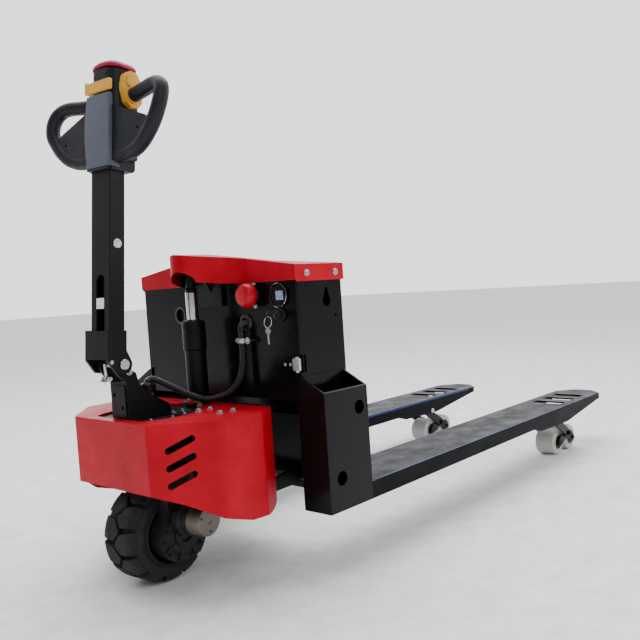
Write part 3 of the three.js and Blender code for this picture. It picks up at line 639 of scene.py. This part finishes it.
def tread_block(side, turn):
    """One chunky block from the rounded shoulder to the zigzag groove round the middle of the tread."""
    across = 6
    shape = bmesh.new()
    layers = []
    for depth in (0, 1):
        layer = []
        for y, half, reach in TREAD_ROWS:
            radius = min(reach, 92) - 3 if depth else reach
            line = []
            for k in range(across + 1):
                lean = 0.16 * (y - 20)
                a = (half * (2 * k / across - 1) * (1 + 0.05 * depth) + lean) / 100
                line.append(shape.verts.new((radius * sin(a), side * y, radius * cos(a))))
            layer.append(line)
        layers.append(layer)
    for layer in layers:
        for first, second in zip(layer, layer[1:]):
            bridge(shape, first, second, False)
    top, base = layers
    for row in (0, -1):
        bridge(shape, top[row], base[row], False)
    for end in (0, -1):
        bridge(shape, [line[end] for line in top], [line[end] for line in base], False)
    return moved(shape, Matrix.Rotation(turn, 4, "Y"))


def make_wheel():
    shoulder = [(r, inset - WHEEL_HALF) for r, inset in (
        (62, 6), (64, 3), (67, 1.6), (69, 3.2), (72, 3.2), (74, 0.9), (80, 0), (85, 0.8), (88.5, 3.5),
        (91, 8), (92.5, 15), (93, 26),
    )]
    profile = shoulder + [(93.5, 0)] + [(r, -y) for r, y in reversed(shoulder)] + [(61.8, 0)]
    body = turned("y", profile, segments=96)
    blocks = []
    for i in range(BLOCKS):
        blocks += [tread_block(-1, 2 * pi * i / BLOCKS), tread_block(1, 2 * pi * (i + 0.5) / BLOCKS)]
    tyre = merged(body, *blocks)
    add("drive_tyre_tread", tyre, DRIVE_WHEEL, TYRE, ["drive_tyre"], 1.2, 2, 42)
    dish = [
        (12.6, -40), (22, -40), (24, -38), (30, -38), (34, -34), (52, -33), (57, -37), (61.6, -48.5),
        (61.6, 48.5), (57, 43), (52, 37), (36, 37), (30, 42), (12.6, 43),
    ]
    nuts = [rod("y", 4.6, 36, 45, at, 6) for at in arc((0, 0), 24, 0, 288, 4)]
    add("drive_rim_dish", merged(turned("y", dish, segments=72), *nuts), DRIVE_WHEEL, CAST,
        ["drive_rim"], 0.5)
    axle = [(0, -69.5), (11.5, -69.5), (12.6, -68), (12.6, 48), (10.5, 50), (0, 50)]
    add("drive_axle", turned("y", axle, segments=40), DRIVE_WHEEL, ZINC)


def make_transmission():
    """Gear case: a disc in the wheel's rim, an arm up to the turntable, ribs, and the motor standing out."""
    hub = (0, WHEEL_RADIUS)
    case = combined(
        prism("y", oblong(hub, (3, 150), 57.5, 20, far=43.5), -80, -57.4),
        "UNION",
        rod("y", 57.5, -62, -46.3, hub, 64),
        block(-37.5, 37.5, -83.4, -57.4, 150, 199.4),
        turned("y", [(0, -83.6), (38, -83.6), (44, -79), (44, -70), (0, -70)], hub),
    )
    case = cut(case, rod("y", 13.4, -70, -40, hub))
    add("gear_case", case, DRIVE_UNIT, CAST, ["gear_housing"], 2.0, 3)
    ends = zip(arc(hub, 20, 118, 343, 5), arc(hub, 53, 118, 343, 5))
    ribs = [prism("y", oblong(inner, outer, 2.4, 5), -84.4, -79) for inner, outer in ends]
    collar = [(15, -83.5), (15, -87.5), (17, -88.5), (24, -88.5), (26, -86.5), (26, -83.5)]
    add("gear_case_ribs", merged(turned("y", collar, hub, 56), *ribs), DRIVE_UNIT, CAST,
        edge=0.6)
    bolts = [(3.2, 4.5, "y", at, -80, -1) for at in arc(hub, 50.5, 186, 356, 5)]
    add_bolts("gear_case_bolts", DRIVE_UNIT, bolts, material=CAST)
    motor = [
        (0, 154.5), (5, 154.5), (6, 156), (27.5, 156), (29.6, 154.6), (30.4, 151), (30.4, 106), (31.5, 103),
        (35, 101.5), (36, 99), (36, 88), (35, 86), (35, 84.4), (0, 84.4),
    ]
    flange = [
        (0, 84.4), (36.4, 84.4), (36.4, 101.5), (35, 103.5), (31.5, 105), (31, 118), (30.6, 119), (30.6, 121),
        (0, 121),
    ]
    band = [(30.2, 0), (31.0, 0.4), (31.0, 2.0), (30.2, 2.4)]
    bands = [turned("y", band, MOTOR, base=y) for y in (-147.5, -126)]
    spots = [(MOTOR[0] + 21 * cos(t), MOTOR[1] + 21 * sin(t)) for t in (0.6, 2.7, 4.8)]
    add("motor_flange", turned("y", flange, MOTOR, 72, out=-1), DRIVE_UNIT, CAST, edge=0.4)
    add("motor_body", merged(turned("y", motor, MOTOR, 72, out=-1), *bands), DRIVE_UNIT, ALLOY,
        ["traction_motor"], 0.3)
    add_bolts("motor_screws", DRIVE_UNIT, [(2.0, 2.4, "y", at, -156, -1) for at in spots], 0.15, ALLOY)


def make_turntable_fittings():
    """Bearing ring and its bolts, hydraulic elbow on its union, and a small red cap."""
    ring = [(50, 0), (52, 2.5), (66, 2.5), (68, 0)]
    add("turntable_cover_ring", turned("z", ring, segments=72, base=TURNTABLE_TOP), DRIVE_UNIT, SATIN,
        edge=0.4)
    spots = arc((0, 0), 73, 18, 342, 9)
    add_bolts("turntable_bolts", DRIVE_UNIT, [(3.2, 4.5, "z", at, TURNTABLE_TOP) for at in spots], 0.15)
    elbow = smooth_path([(96, -46, 346), (96, -46, 354), (93, -45, 359), (87, -43, 361), (80, -42, 361)], 8)
    union = merged(rod("z", 8, 345, 351, (96, -46), 6), rod("z", 6.5, 351, 354, (96, -46)))
    cap = [(0, 70), (4, 70), (4.6, 71.5), (4.6, 79), (4, 80), (0, 80)]
    add("pressure_elbow", swept(elbow, 3.6, 20), DRIVE_BASE, ZINC)
    add("pressure_union", union, DRIVE_BASE, BRASS, edge=0.4)
    add("pressure_cap", turned("x", cap, (-42, 361), 20), DRIVE_BASE, STOP_RED, edge=0.3)


make_guard()
make_cylinder()
make_wheel()
make_transmission()
make_turntable_fittings()


# ---- tiller ----
HEAD_FRONT = -27
HEAD_REAR = 34
HEAD_HALF = 38
HEAD_TOP = 584
HEAD_ARCH = 4  # drop of the arched top at ARCH_HALF from the middle
ARCH_HALF = 41
WING_SCREW = (116, 450)
GRIP_RADIUS = 14.2
GRIP_AXIS = (4, 530)
GRIP_LOOP = (  # forward, outward and up from the axis
    (0, 64, 0), (-6, 100, 2), (-12, 134, 4), (-15, 155, 1), (-20, 168, -10), (-25, 173, -29), (-28, 168, -53),
    (-27, 156, -72), (-26, 139, -91), (-24, 118, -107), (-21.5, 92, -117), (-20.5, 66, -120.5),
    (-20, 42, -121.5),
)
KNOB_LOBES = (  # forward and up from the axis, and the corner's radius
    (-13, -15, 9), (-1, -23, 10), (15, -22, 10), (23, -10, 10), (24, 8, 8), (17, 17, 9), (20, 32, 10),
    (12, 46, 9), (-4, 49, 9), (-17, 40, 12), (-21, 14, 30),
)
KNOB_RIB = ((-15, 22, 4), (6, 8, 3), (12, 15, 4), (-3, 42, 6), (-12, 38, 5))


def make_bracket():
    """Plates of the tiller's pivot, the pin, the gas spring's end in front, and the clip for the conduit."""
    keep("tiller_bracket", SATIN, 1.0)
    keep("tiller_yoke", SATIN, 1.6)
    head = [(0, 0), (10.5, 0), (10.8, 0.8), (10.8, 3.4), (9.6, 4.2), (7, 4.2), (6.4, 3.6), (0, 3.6)]
    pins = [turned("y", head, segments=48, base=side * 36.8, out=side) for side in BOTH]
    add("pivot_pin", merged(*pins, rod("y", 7.5, -36.8, 36.8, (0, 0))), ON_TILLER, ZINC,
        ["tiller_pin"], 0.3)
    pivot = (STEERED @ Matrix.Translation(PIVOT), "drive_unit")
    add_bolts("bracket_bolts", pivot, [(4.6, 6.5, "y", (18, -17), side * 26, side, ROUND) for side in BOTH])
    stem = [Vector((-94, 0, 436)), Vector((-95, 0, 450)), Vector((-96, 0, 464))]
    spring = merged(
        rod("y", 5.4, -4, 4, SPRING_PIN),
        rod("y", 2.8, -12, 12, SPRING_PIN),
        rod("y", 5, -12.5, -8.4, SPRING_PIN, 6),
        rod("y", 5, 8.4, 12.5, SPRING_PIN, 6),
        swept(stem, 3.2, 24),
        turned("x", [(0, -109), (1.2, -107), (3.6, -98), (3.6, -95), (0, -95)], (2, 431), 20),
    )
    add("spring_end", spring, (STEERED, "tiller"), ZINC, edge=0.3)
    holes = [rod("x", 4, -80, -60, at) for at in ((12, 398), (-12, 372))]
    plate = cut(prism("x", rectangle(-22, 22, 354, 418, 5), -71.5, -69.2), *holes)
    add("bracket_face_plate", plate, DRIVE_UNIT, SATIN, edge=0.5)
    grommet = [(8.6, 4), (12, 4), (12.4, 5), (12.4, 7), (11, 8.5), (8.6, 8.5)]
    grommet = turned("z", grommet, segments=40, base=CLIP_TOP)
    add("conduit_grommet", grommet, DRIVE_UNIT, CONDUIT, edge=0.3)
    add_bolts("conduit_clip_bolts", DRIVE_UNIT, [
        (3.2, 4, "z", (-20, 0), CLIP_TOP, 1, ROUND), (2.6, 3, "z", (-38, 0), CLIP_TOP),
    ], 0.15)


def make_tube():
    keep("tiller_tube", SATIN, 2.6)
    keep("gas_spring", SATIN, 0.3)
    label = prism("x", rectangle(-12, 12, 110, 131, 1.5), -28.5, -28.1)
    add("tiller_label", label, ON_TILLER, LABEL)
    cap = [(0, 0), (9.6, 0), (9.6, 1.0), (8.4, 2.2), (6.4, 2.2), (5.8, 1.4), (0, 1.2)]
    for name, side in SIDES:
        add(f"tube_cap_{name}", turned("y", cap, (-11, 238), 40, base=side * 30, out=side), ON_TILLER, ZINC,
            edge=0.2)
    bolts = [(2.6, 2.6, "y", (-28, 5), side * 36.5, side, ROUND) for side in BOTH]
    add_bolts("yoke_bolts", ON_TILLER, bolts, 0.15)
    seam = ((6, 35.8), (-20, 36), (-36.5, 36))
    seams = [swept([Vector((x, side * y, 66.2)) for x, y in seam], 1.3, 12) for side in (-1, 1)]
    add("yoke_weld", merged(*seams), ON_TILLER, SATIN)


def make_grips():
    """Hand loops, each from its knob round to where it runs along the wing's lower edge."""
    s, t = GRIP_AXIS
    seal = [(9, 62), (12.6, 62), (13.6, 63.5), (13.6, 66), (9, 66)]
    for name, side in SIDES:
        loop = smooth_path([(s + ahead, side * y, t + up) for ahead, y, up in GRIP_LOOP], 10)
        grip = merged(
            swept(loop, GRIP_RADIUS, 36),
            turned("y", seal, GRIP_AXIS, 40, out=side),
            rod("y", 8.8, side * 38.5, side * 68, GRIP_AXIS, 32),
        )
        add(f"grip_{name}", grip, ON_TILLER, PLASTIC, [f"handle_loop_{name}"], 0.4)


def head_drop(y):
    """How far the head's arched top lies below its middle."""
    return HEAD_ARCH * (y / ARCH_HALF) ** 2


def make_head():
    """Head moulding: rounded core, collar round the tube, and the two wings running out to the loops."""
    wing = [(0, 398), (60, 399)]
    curve = [(60, 399), (108, 404), (138, 430), (146, 462)]
    for i in range(1, 15):
        t = i / 14
        weights = ((1 - t) ** 3, 3 * t * (1 - t) ** 2, 3 * t * t * (1 - t), t ** 3)
        wing.append(tuple(sum(w * p[k] for w, p in zip(weights, curve)) for k in (0, 1)))
    wing += [(134, 472), (44, 505), (30, 512)]
    wing += [(-y, t) for y, t in reversed(wing[1:])]
    wide = HEAD_HALF + 3.4
    plan = rounded([(HEAD_REAR, wide), (HEAD_FRONT, wide), (HEAD_FRONT, -wide), (HEAD_REAR, -wide)],
                   [12, 23, 23, 12], 9)
    front, top = HEAD_FRONT - 5, HEAD_TOP + 3
    profile = rounded([(front, 404), (HEAD_REAR, 404), (HEAD_REAR, top), (front, top)], [0, 16, 3, 0], 6)
    crown = [(-60, 400), (60, 400)] + [(y, HEAD_TOP + 2 - head_drop(y)) for y in range(60, -61, -5)]
    core = combined(prism("z", plan, 404, HEAD_TOP + 4), "INTERSECT", prism("y", profile, -50, 50))
    core = combined(core, "INTERSECT", prism("x", crown, -60, 60))
    collar = rounded([(HEAD_FRONT, 382), (26, 382), (26, 418), (HEAD_FRONT, 418)], [3, 8, 0, 0], 5)
    body = combined(prism("x", wing, -29.5, -8), "UNION", core, prism("y", collar, -36, 36))
    turns = [k * pi / 10 for k in range(20)]
    marks = [[(y + 2.1 * cos(t), 573 + 4.4 * sin(t)) for t in turns] for y in (21, -16)]
    spots = [(side * WING_SCREW[0], WING_SCREW[1]) for side in BOTH]
    body = cut(
        body,
        block(-28.3, 6.3, -30.3, 30.3, 300, 406.3),
        block(HEAD_FRONT + 10, HEAD_REAR - 8, 12 - HEAD_HALF, HEAD_HALF - 12, HEAD_TOP - 14, HEAD_TOP + 5),
        *[rod("x", 2.8, -60, -23, at, 24) for at in spots],
        *[prism("x", mark, -60, -22) for mark in marks],
    )
    add("head_shell", body, ON_TILLER, PLASTIC, ["head_body"], 2.0, 3, 38)
    screws = [bolt_head(2.3, 1.5, "x", at, -24.5, -1, ROUND) for at in spots]
    add("head_screws", merged(*screws), ON_TILLER, SATIN)


def make_front_cover():
    """Slate grey cover: bowed sides, a crowned face, and a lip at the foot."""
    rows, columns = 18, 10
    low, high = 388, 533
    shape = bmesh.new()
    grid = []
    for i in range(rows + 1):
        t = i / rows
        half = HEAD_HALF - 3 + 3.6 * sin(pi * t) + 1.4 * t
        line = []
        for j in range(columns + 1):
            k = 2 * j / columns - 1
            crown = 0.7 * (1 - k * k) + 2.6 * sin(pi * min(1, t * 1.05))
            line.append(shape.verts.new((-35.6 - crown, k * half, low + (high - low) * t)))
        grid.append(line)
    for first, second in zip(grid, grid[1:]):
        bridge(shape, first, second, False)
    back = bmesh.ops.extrude_face_region(shape, geom=list(shape.faces))
    for vert in [g for g in back["geom"] if isinstance(g, bmesh.types.BMVert)]:
        vert.co.x = HEAD_FRONT + 1 if vert.co.z > 408 else -28.6
    add("head_front_panel", shape, ON_TILLER, GREY, ["head_front_cover"], 2.4, 3, 50)
    wrap = [(-34, 388.5), (-10, 388.5), (-14, 393), (-22, 402), (-26, 416), (-28, 450), (-34, 450)]
    wraps = [prism("y", wrap, side * 34.5, side * 38.6) for side in BOTH]
    add("head_front_wraps", merged(*wraps), ON_TILLER, GREY, edge=1.0)
    foot = prism("y", rounded([(-36, 383), (-28.5, 383), (-28.5, 388.4), (-36.4, 388.4)], 0.8), -33, 33)
    add("head_front_foot", foot, ON_TILLER, PLASTIC, edge=0.4)


def make_knobs():
    """Butterfly throttle knobs: a two-lobed disc with a raised thumb rib and a hub."""
    def outline(corners, steps):
        spots = [(GRIP_AXIS[0] + ahead, GRIP_AXIS[1] + up) for ahead, up, _ in corners]
        return rounded(spots, [radius for *_, radius in corners], steps)

    hub = [(9.4, 50), (17, 50), (16, 61), (9.4, 61)]
    for name, side in SIDES:
        knob = combined(prism("y", outline(KNOB_LOBES, 5), side * 42.5, side * 56), "UNION",
                        turned("y", hub, GRIP_AXIS, 40, out=side))
        knob = combined(knob, "UNION", prism("y", outline(KNOB_RIB, 4), side * 50, side * 60.5))
        knob = cut(knob, rod("y", 9.4, side * 36, side * 74, GRIP_AXIS, 40))
        add(f"throttle_{name}", knob, (TILLER, "throttle"), YELLOW,
            [f"throttle_knob_{name}"], 2.4, 3, 40)


def make_buttons():
    """Horn bar across the head, and the domed reversing button that caps it."""
    bar = rounded([(-40.3, 537.6), (40.3, 537.6), (40.3, 566), (33, 559), (-40.3, 559)], [3, 3, 3, 12, 3], 5)
    horn = prism("x", bar, HEAD_FRONT - 10, HEAD_FRONT - 2.6)
    add("horn_rocker", horn, (TILLER, "horn_button"), YELLOW, ["horn_bar"], 1.6, 3)
    middle = (HEAD_FRONT + HEAD_REAR) / 2
    wide, deep = HEAD_HALF + 4.4, (HEAD_REAR - HEAD_FRONT) / 2 + 2.4
    base = HEAD_TOP + 6.4
    shape = bmesh.new()
    levels = [(0.03, 0), (0.4, 0), (0.7, 0), (0.97, 0), (1.0, 0.8), (1.0, 3.6)]
    levels += [(cos(radians(a)) ** 0.8, 3.6 + 13 * sin(radians(a)) ** 1.15) for a in range(8, 89, 8)]
    rings = []
    for size, rise in levels:
        ring = []
        for c, d in arc((0, 0), 1, 0, 355, 71):
            reach = (abs(c) ** 3.2 + abs(d) ** 3.2) ** (-1 / 3.2)
            y = wide * size * reach * d
            ring.append(shape.verts.new((middle + deep * size * reach * c, y, base + rise - head_drop(y))))
        rings.append(ring)
    for first, second in zip(rings, rings[1:]):
        bridge(shape, first, second, True)
    shape.faces.new(rings[-1])
    shape.faces.new(rings[0][::-1])
    button = (TILLER, "reverse_button")
    add("reverse_cap", shape, button, CRIMSON, ["belly_button"], 0.5)
    neck = block(HEAD_FRONT + 12, HEAD_REAR - 10, 14 - HEAD_HALF, HEAD_HALF - 14, HEAD_TOP - 9, base + 0.5)
    add("reverse_neck", neck, button, PLASTIC, edge=0.5)


make_bracket()
make_tube()
make_grips()
make_head()
make_front_cover()
make_knobs()
make_buttons()


# ---- body ----
NOSE_RADIUS = 40
COVER_FRONT = 182.5
COVER_BACK = 329
COVER_HALF = 272
COVER_RIDGE = 678
COVER_EAVES = 637.4
COVER_SKIRT = 604
COVER_SHEET = 3


def cover_plan(margin):
    front, half, radius = COVER_FRONT + margin, COVER_HALF - margin, NOSE_RADIUS - margin
    flare = 112 - margin
    ahead = front - CYLINDER[0]
    touch = degrees(atan2(flare, ahead) + acos(radius / hypot(ahead, flare)))
    nose = arc(CYLINDER, radius, touch, 360 - touch, 28)
    corners = [(COVER_BACK - margin, half), (front, half), (front, flare), nose[0]]
    flared = rounded(corners, [0, 0, 45, 0], 8)[:-1]
    return flared + nose + [(x, -y) for x, y in reversed(flared)]


def cover_roof(drop):
    """Solid under the roof, which is gabled across and falls to the back."""
    ridge, eaves = COVER_RIDGE - drop, COVER_EAVES - drop
    gable = prism("x", [(-286, 560), (286, 560), (286, eaves), (0, ridge), (-286, eaves)], 60, 345)
    fall = [(60, 560), (345, 560), (345, 640 - drop), (COVER_BACK, 642 - drop), (218, 652 - drop),
            (COVER_FRONT + 2, ridge), (60, ridge)]
    return combined(gable, "INTERSECT", prism("y", fall, -300, 300))


def make_cover():
    """Sheet metal hood: roof, skirt, and a nose over the lift cylinder with an arch."""
    outer = combined(prism("z", cover_plan(0), COVER_SKIRT, 720), "INTERSECT", cover_roof(0))
    hollow = combined(prism("z", cover_plan(COVER_SHEET), 570, 720), "INTERSECT", cover_roof(COVER_SHEET))
    arch = prism("x", arc((-8, COVER_SKIRT + 11), 32, 0, 360, 48, 24 / 32), 60, 125)
    under = prism("y", [(60, 590), (60, 618), (105, 617), (150, 610), (186, 607.5), (186, 590)], -300, 300)
    add("hood", cut(outer, hollow, arch, under), CHASSIS, RED, ["top_cover"], 1.3, 3, 18)
    screws = [(4.8, 4, "y", (x, 621), side * COVER_HALF, side, ROUND) for side in BOTH for x in (216, 303)]
    add_bolts("hood_screws", CHASSIS, screws)


def on_panel(name, profile, at, segments, material, replaces=(), edge=0.0, home=CHASSIS, base=FACE):
    """A turned ring or disc standing out from the front panel."""
    shape = turned("x", profile, at, segments, base, -1)
    add(name, shape, home, material, replaces, edge)


def make_stop_button():
    collar = [(8.5, 0), (18, 0), (18, 2.5), (16.5, 3.5), (16.5, 7), (15.5, 8), (8.5, 8)]
    mushroom = [(0, 24), (12, 23.6), (19, 22.4), (22.4, 20.6), (24, 18.2), (25.8, 12), (26.8, 8), (26.6, 4),
                (25, 1.2), (22, 0.2), (8, 0), (8, -6.5), (0, -6.5)]
    on_panel("stop_collar", collar, STOP, 48, PLASTIC, ["emergency_stop_collar"], 0.4)
    on_panel("stop_mushroom", mushroom, STOP, 64, STOP_RED, ["emergency_stop_button"], 0.5,
             (TRUCK, "stop_button"), FACE - 12)
    spots = [(STOP[0] - 2, STOP[1] + k * 23.5) for k in (-1, 1)]
    add_bolts("stop_screws", CHASSIS, [(3.6, 3.4, "x", at, FACE, -1, ROUND) for at in spots])


def make_gauge():
    y, z = GAUGE
    bezel = [(21.5, 0), (26, 0), (26, 4), (25, 5.7), (23.6, 6), (21.5, 4.5)]
    rim = [(25.0, 5.2), (25.6, 5.2), (25.6, 5.7), (25.0, 5.9)]
    body = [(0, 0), (22.3, 0), (22.3, 4.2), (0, 4.2)]
    on_panel("gauge_body", body, GAUGE, 56, BLACK, ["battery_gauge"])
    on_panel("gauge_bezel", bezel, GAUGE, 72, BLACK)
    on_panel("gauge_rim", rim, GAUGE, 72, CHROME)
    window = prism("x", rectangle(y - 15, y + 7, z - 10, z + 9, 2), FACE - 4.9, FACE - 4.0)
    add("gauge_screen", window, CHASSIS, SCREEN, edge=0.3)


def make_key():
    """Key switch, the key in it with a black bow, and a ring with a spare hanging from it."""
    y, z = KEY
    nut = [(9, 0), (15.5, 0), (15.5, 3.5), (14.5, 5), (9, 5)]
    barrel = [(0, 0), (10, 0), (10, 13), (9, 15), (6.5, 16), (0, 16)]
    on_panel("key_switch_nut", nut, KEY, 12, PLASTIC, edge=0.3)
    on_panel("key_switch_barrel", barrel, KEY, 48, CAST, ["key_switch"], 0.3)
    blade = prism("y", rectangle(FACE - 27, FACE - 16.4, z - 3.2, z + 3.2, 0.8), y - 1.1, y + 1.1)
    add("key_blade", blade, IGNITION, ZINC, ["key"], 0.3)
    bow = prism("y", arc((FACE - 33, z), 9.4, 0, 360, 28), y - 1.8, y + 1.8)
    hole = rod("y", 2.6, y - 5, y + 5, (FACE - 38, z - 2), 24)
    add("key_bow", cut(bow, hole), IGNITION, PLASTIC, edge=0.8)
    middle = Vector((FACE - 37.5, y, z - 13))
    turns = [2 * pi * k / 40 for k in range(41)]
    ring = [middle + Vector((0.15 * sin(a), cos(a), sin(a))) * 11 for a in turns]
    spare_bow = prism("x", arc((y + 1, z - 31), 7, 0, 360, 24), FACE - 38.5, FACE - 36.5)
    teeth = [(-1.5, 36), (3.5, 36), (3.2, 57), (0.5, 60), (-1.2, 56), (-0.2, 52), (-1.4, 48), (-0.4, 42)]
    spare_blade = prism("x", [(y + a, z - down) for a, down in teeth], FACE - 38.3, FACE - 36.7)
    add("key_ring", swept(ring, 0.9, 12), IGNITION, ZINC)
    add("spare_key", merged(spare_bow, spare_blade), IGNITION, ZINC, edge=0.3)


def make_gland():
    """Gland the conduit leaves by, and the grommet of a free port."""
    gland = [(11, 0), (19, 0), (19, 2.5), (17.8, 4), (15.2, 4.4), (14.6, 5.4), (11, 5.4)]
    port = [(15.5, 1.2), (20, 1.2), (20.4, -0.2), (17, -5), (15.5, -5)]
    on_panel("gland_ring", gland, GLAND, 56, CONDUIT, ["cable_gland"], 0.4)
    on_panel("port_grommet", port, PORT, 48, CONDUIT, edge=0.3, base=PANEL)


def make_latch():
    """Zinc latch on the corner, its lever hinged on the corner pin."""
    plate = prism("x", rectangle(-255.3, -219, 424, 442, 2.5), FACE - 3, FACE)
    add("latch_base", plate, CHASSIS, BLACK, ["latch_plate"], 0.5)
    screws = [(2.4, 2.2, "x", (y, 433), FACE - 3, -1, ROUND) for y in (-226, -241)]
    add_bolts("latch_screws", CHASSIS, screws, 0.15)
    lever = prism("x", rectangle(-272, -254.5, 421, 447, 2.5), FACE - 9.5, FACE - 6.5)
    wall = prism("x", rectangle(-271.8, -267.5, 421, 447, 1), FACE - 8, FACE - 3.4)
    surround = cut(
        prism("x", rectangle(-270, -256, 423, 445, 2), FACE - 11.5, FACE - 9),
        prism("x", rectangle(-267, -259, 431, 436, 1.5), FACE - 13, FACE - 9.9),
    )
    pin = rod("z", 3.6, 418, 450, (FACE - 8, -266), 24)
    add("latch_tab", merged(combined(lever, "UNION", wall), surround, pin), (TRUCK, "latch"), ZINC,
        ["latch_lever"], 0.5)


# ---- cable conduit ----
CONDUIT_ROUTE = [
    (182.7, -110, 522), (179.5, -110, 522), (174, -110, 519.5), (170.5, -110, 514.5), (169.5, -110, 506),
    (169.5, -110, 488), (169.5, -110, 460), (167, -108, 426), (161, -101, 398), (146, -90, 377),
    (124, -76, 367), (100, -60, 365), (74, -43, 377), (48, -27, 395), (25, -13, 411), (10, -5, 419),
    (2, -1, 416), (0, 0, 404), (0, 0, 386), (0, 0, 366), (0, 0, 350),
]
CONDUIT_RADIUS = 7.6
CONDUIT_RIB = 1.6
CONDUIT_PITCH = 4.4


def make_conduit():
    """Corrugated conduit from the panel gland to the clip over the turntable."""
    def size(gone):
        return CONDUIT_RADIUS - CONDUIT_RIB * (0.5 - 0.5 * cos(2 * pi * gone / CONDUIT_PITCH)) ** 2

    path = evenly(smooth_path(CONDUIT_ROUTE, 24), 0.8)
    shape = swept(path, size, 16)
    piece = add("corrugated_conduit", shape, (TRUCK, None), CONDUIT, ["cable_conduit"])
    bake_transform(piece)


def make_conduit_clamp():
    """Band round the conduit, bolted through two ears, on two posts from the panel."""
    x, y, z = CLAMP
    band = [(7.7, -5), (9.6, -5), (9.8, -4), (9.8, 4), (9.6, 5), (7.7, 5)]
    clamp = merged(
        turned("z", band, (x, y), 40, base=z),
        *[block(x + 1, x + 3.4, y + k * 14.5 - 6, y + k * 14.5 + 6, z - 5, z + 5) for k in (-1, 1)],
        *[rod("x", 3, x + 3, PANEL - 0.4, (y + k * 16, z), 20) for k in (-1, 1)],
    )
    add("conduit_clamp", clamp, CHASSIS, ZINC, edge=0.3)
    heads = [(radius, 4.5, "x", (y + k * 16, z), x + 1, -1, ROUND) for k, radius in ((-1, 4.8), (1, 3.6))]
    add_bolts("conduit_clamp_bolts", CHASSIS, heads)


# ---- load wheels and forks ----
def make_load_wheels():
    edge = [(8.5, -33), (23, -33), (24, -31), (24, -29.5), (34, -30.5), (37, -31), (39, -29), (40, -26)]
    tread = edge + [(40, 0)] + [(r, -h) for r, h in reversed(edge)]
    seal = [(9, 31), (22.4, 31), (22.4, 33.2), (20, 34), (11, 34), (9, 33.4)]
    for name, side in SIDES:
        for end in ("rear", "front"):
            low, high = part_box(f"load_wheel_{name}_{end}")
            place = Matrix.Translation((low + high) / 2) @ Matrix.Scale(0.001, 4)
            roller = f"roller_{name}_{end}"
            add(f"{roller}_tyre", turned("y", tread, segments=72), (place, roller), NYLON,
                [f"load_wheel_{name}_{end}"], 0.6)
            seals = [turned("y", seal, segments=48, out=k) for k in (-1, 1)]
            add(f"{roller}_seals", merged(*seals), (place, roller), PLASTIC, edge=0.3)
        keep(f"load_arm_{name}", BLACK, 1.0)
        keep(f"wheel_bogie_{name}", BLACK, 1.0)
        keep(f"push_rod_{name}", ZINC, 0.4)
        middle = side * FORK_MIDDLE
        bolts = [(6, thick, "y", (x, LOAD_RADIUS), middle + k * 41, k)
                 for x, thick in ((1308, 2.4), (1396, 6)) for k in (-1, 1)]
        bolts += [(5.5, 5, "y", BOGIE_PIN, middle + k * 53, k, ROUND) for k in (-1, 1)]
        add_bolts(f"bogie_bolts_{name}", (TRUCK, f"bogie_{name}"), bolts, 0.25, CAST)


def make_body():
    for name, _ in SIDES:
        keep(f"fork_{name}", DECK, 1.4)
        keep(f"side_pocket_{name}", BLACK, 0.9)
        keep(f"side_panel_{name}", BLACK, 0.8)
        keep(f"battery_{name}", CELL, 3)
    for name in ("front_panel", "back_panel"):
        keep(name, BLACK, 0.9)
    for name in ("heel_plate", "battery_tray", "rod_bracket", "base_plate", "turntable", "drive_yoke",
                 "torsion_shaft"):
        keep(name, SATIN, 0.9)
    keep("pump_unit", PLASTIC, 2)
    keep("motor_controller", ALLOY, 2)
    keep("slewing_ring", ZINC, 0.5)


def make_painted_edge_reflection():
    """Thin blue strips along the upper edges of both forks: a painted reflection of the rounded edges, not a
    film.
    """
    for name, side in SIDES:
        strips = []
        for k in (-1, 1):
            face = side * FORK_MIDDLE + k * FORK_HALF
            # painted reflection: blue strip on the top edge, and one down the outer side
            strips.append(block(335, 1500, *sorted((face - k, face - 4 * k)), 166.8, 167.4))
            if k != side:
                strips.append(block(335, 1500, *sorted((face, face + 0.5 * k)), 162, 165.4))
        add(f"fork_painted_reflection_{name}", merged(*strips), CHASSIS, PAINTED_EDGE_REFLECTION, edge=0.2)


def make_arm_pins():
    """Silver head of the load arm's pin on the inner side of each fork."""
    head = [(0, 0), (8.5, 0), (8.5, 1.6), (7.4, 2.6), (0, 2.6)]
    for name, side in SIDES:
        pin = turned("y", head, ARM_PIN, 32, side * (FORK_MIDDLE - FORK_HALF), -side)
        add(f"arm_pin_heads_{name}", pin, CHASSIS, ZINC, edge=0.2)


make_cover()
make_stop_button()
make_gauge()
make_key()
make_gland()
make_latch()
make_conduit()
make_conduit_clamp()
make_load_wheels()
make_body()
make_painted_edge_reflection()
make_arm_pins()
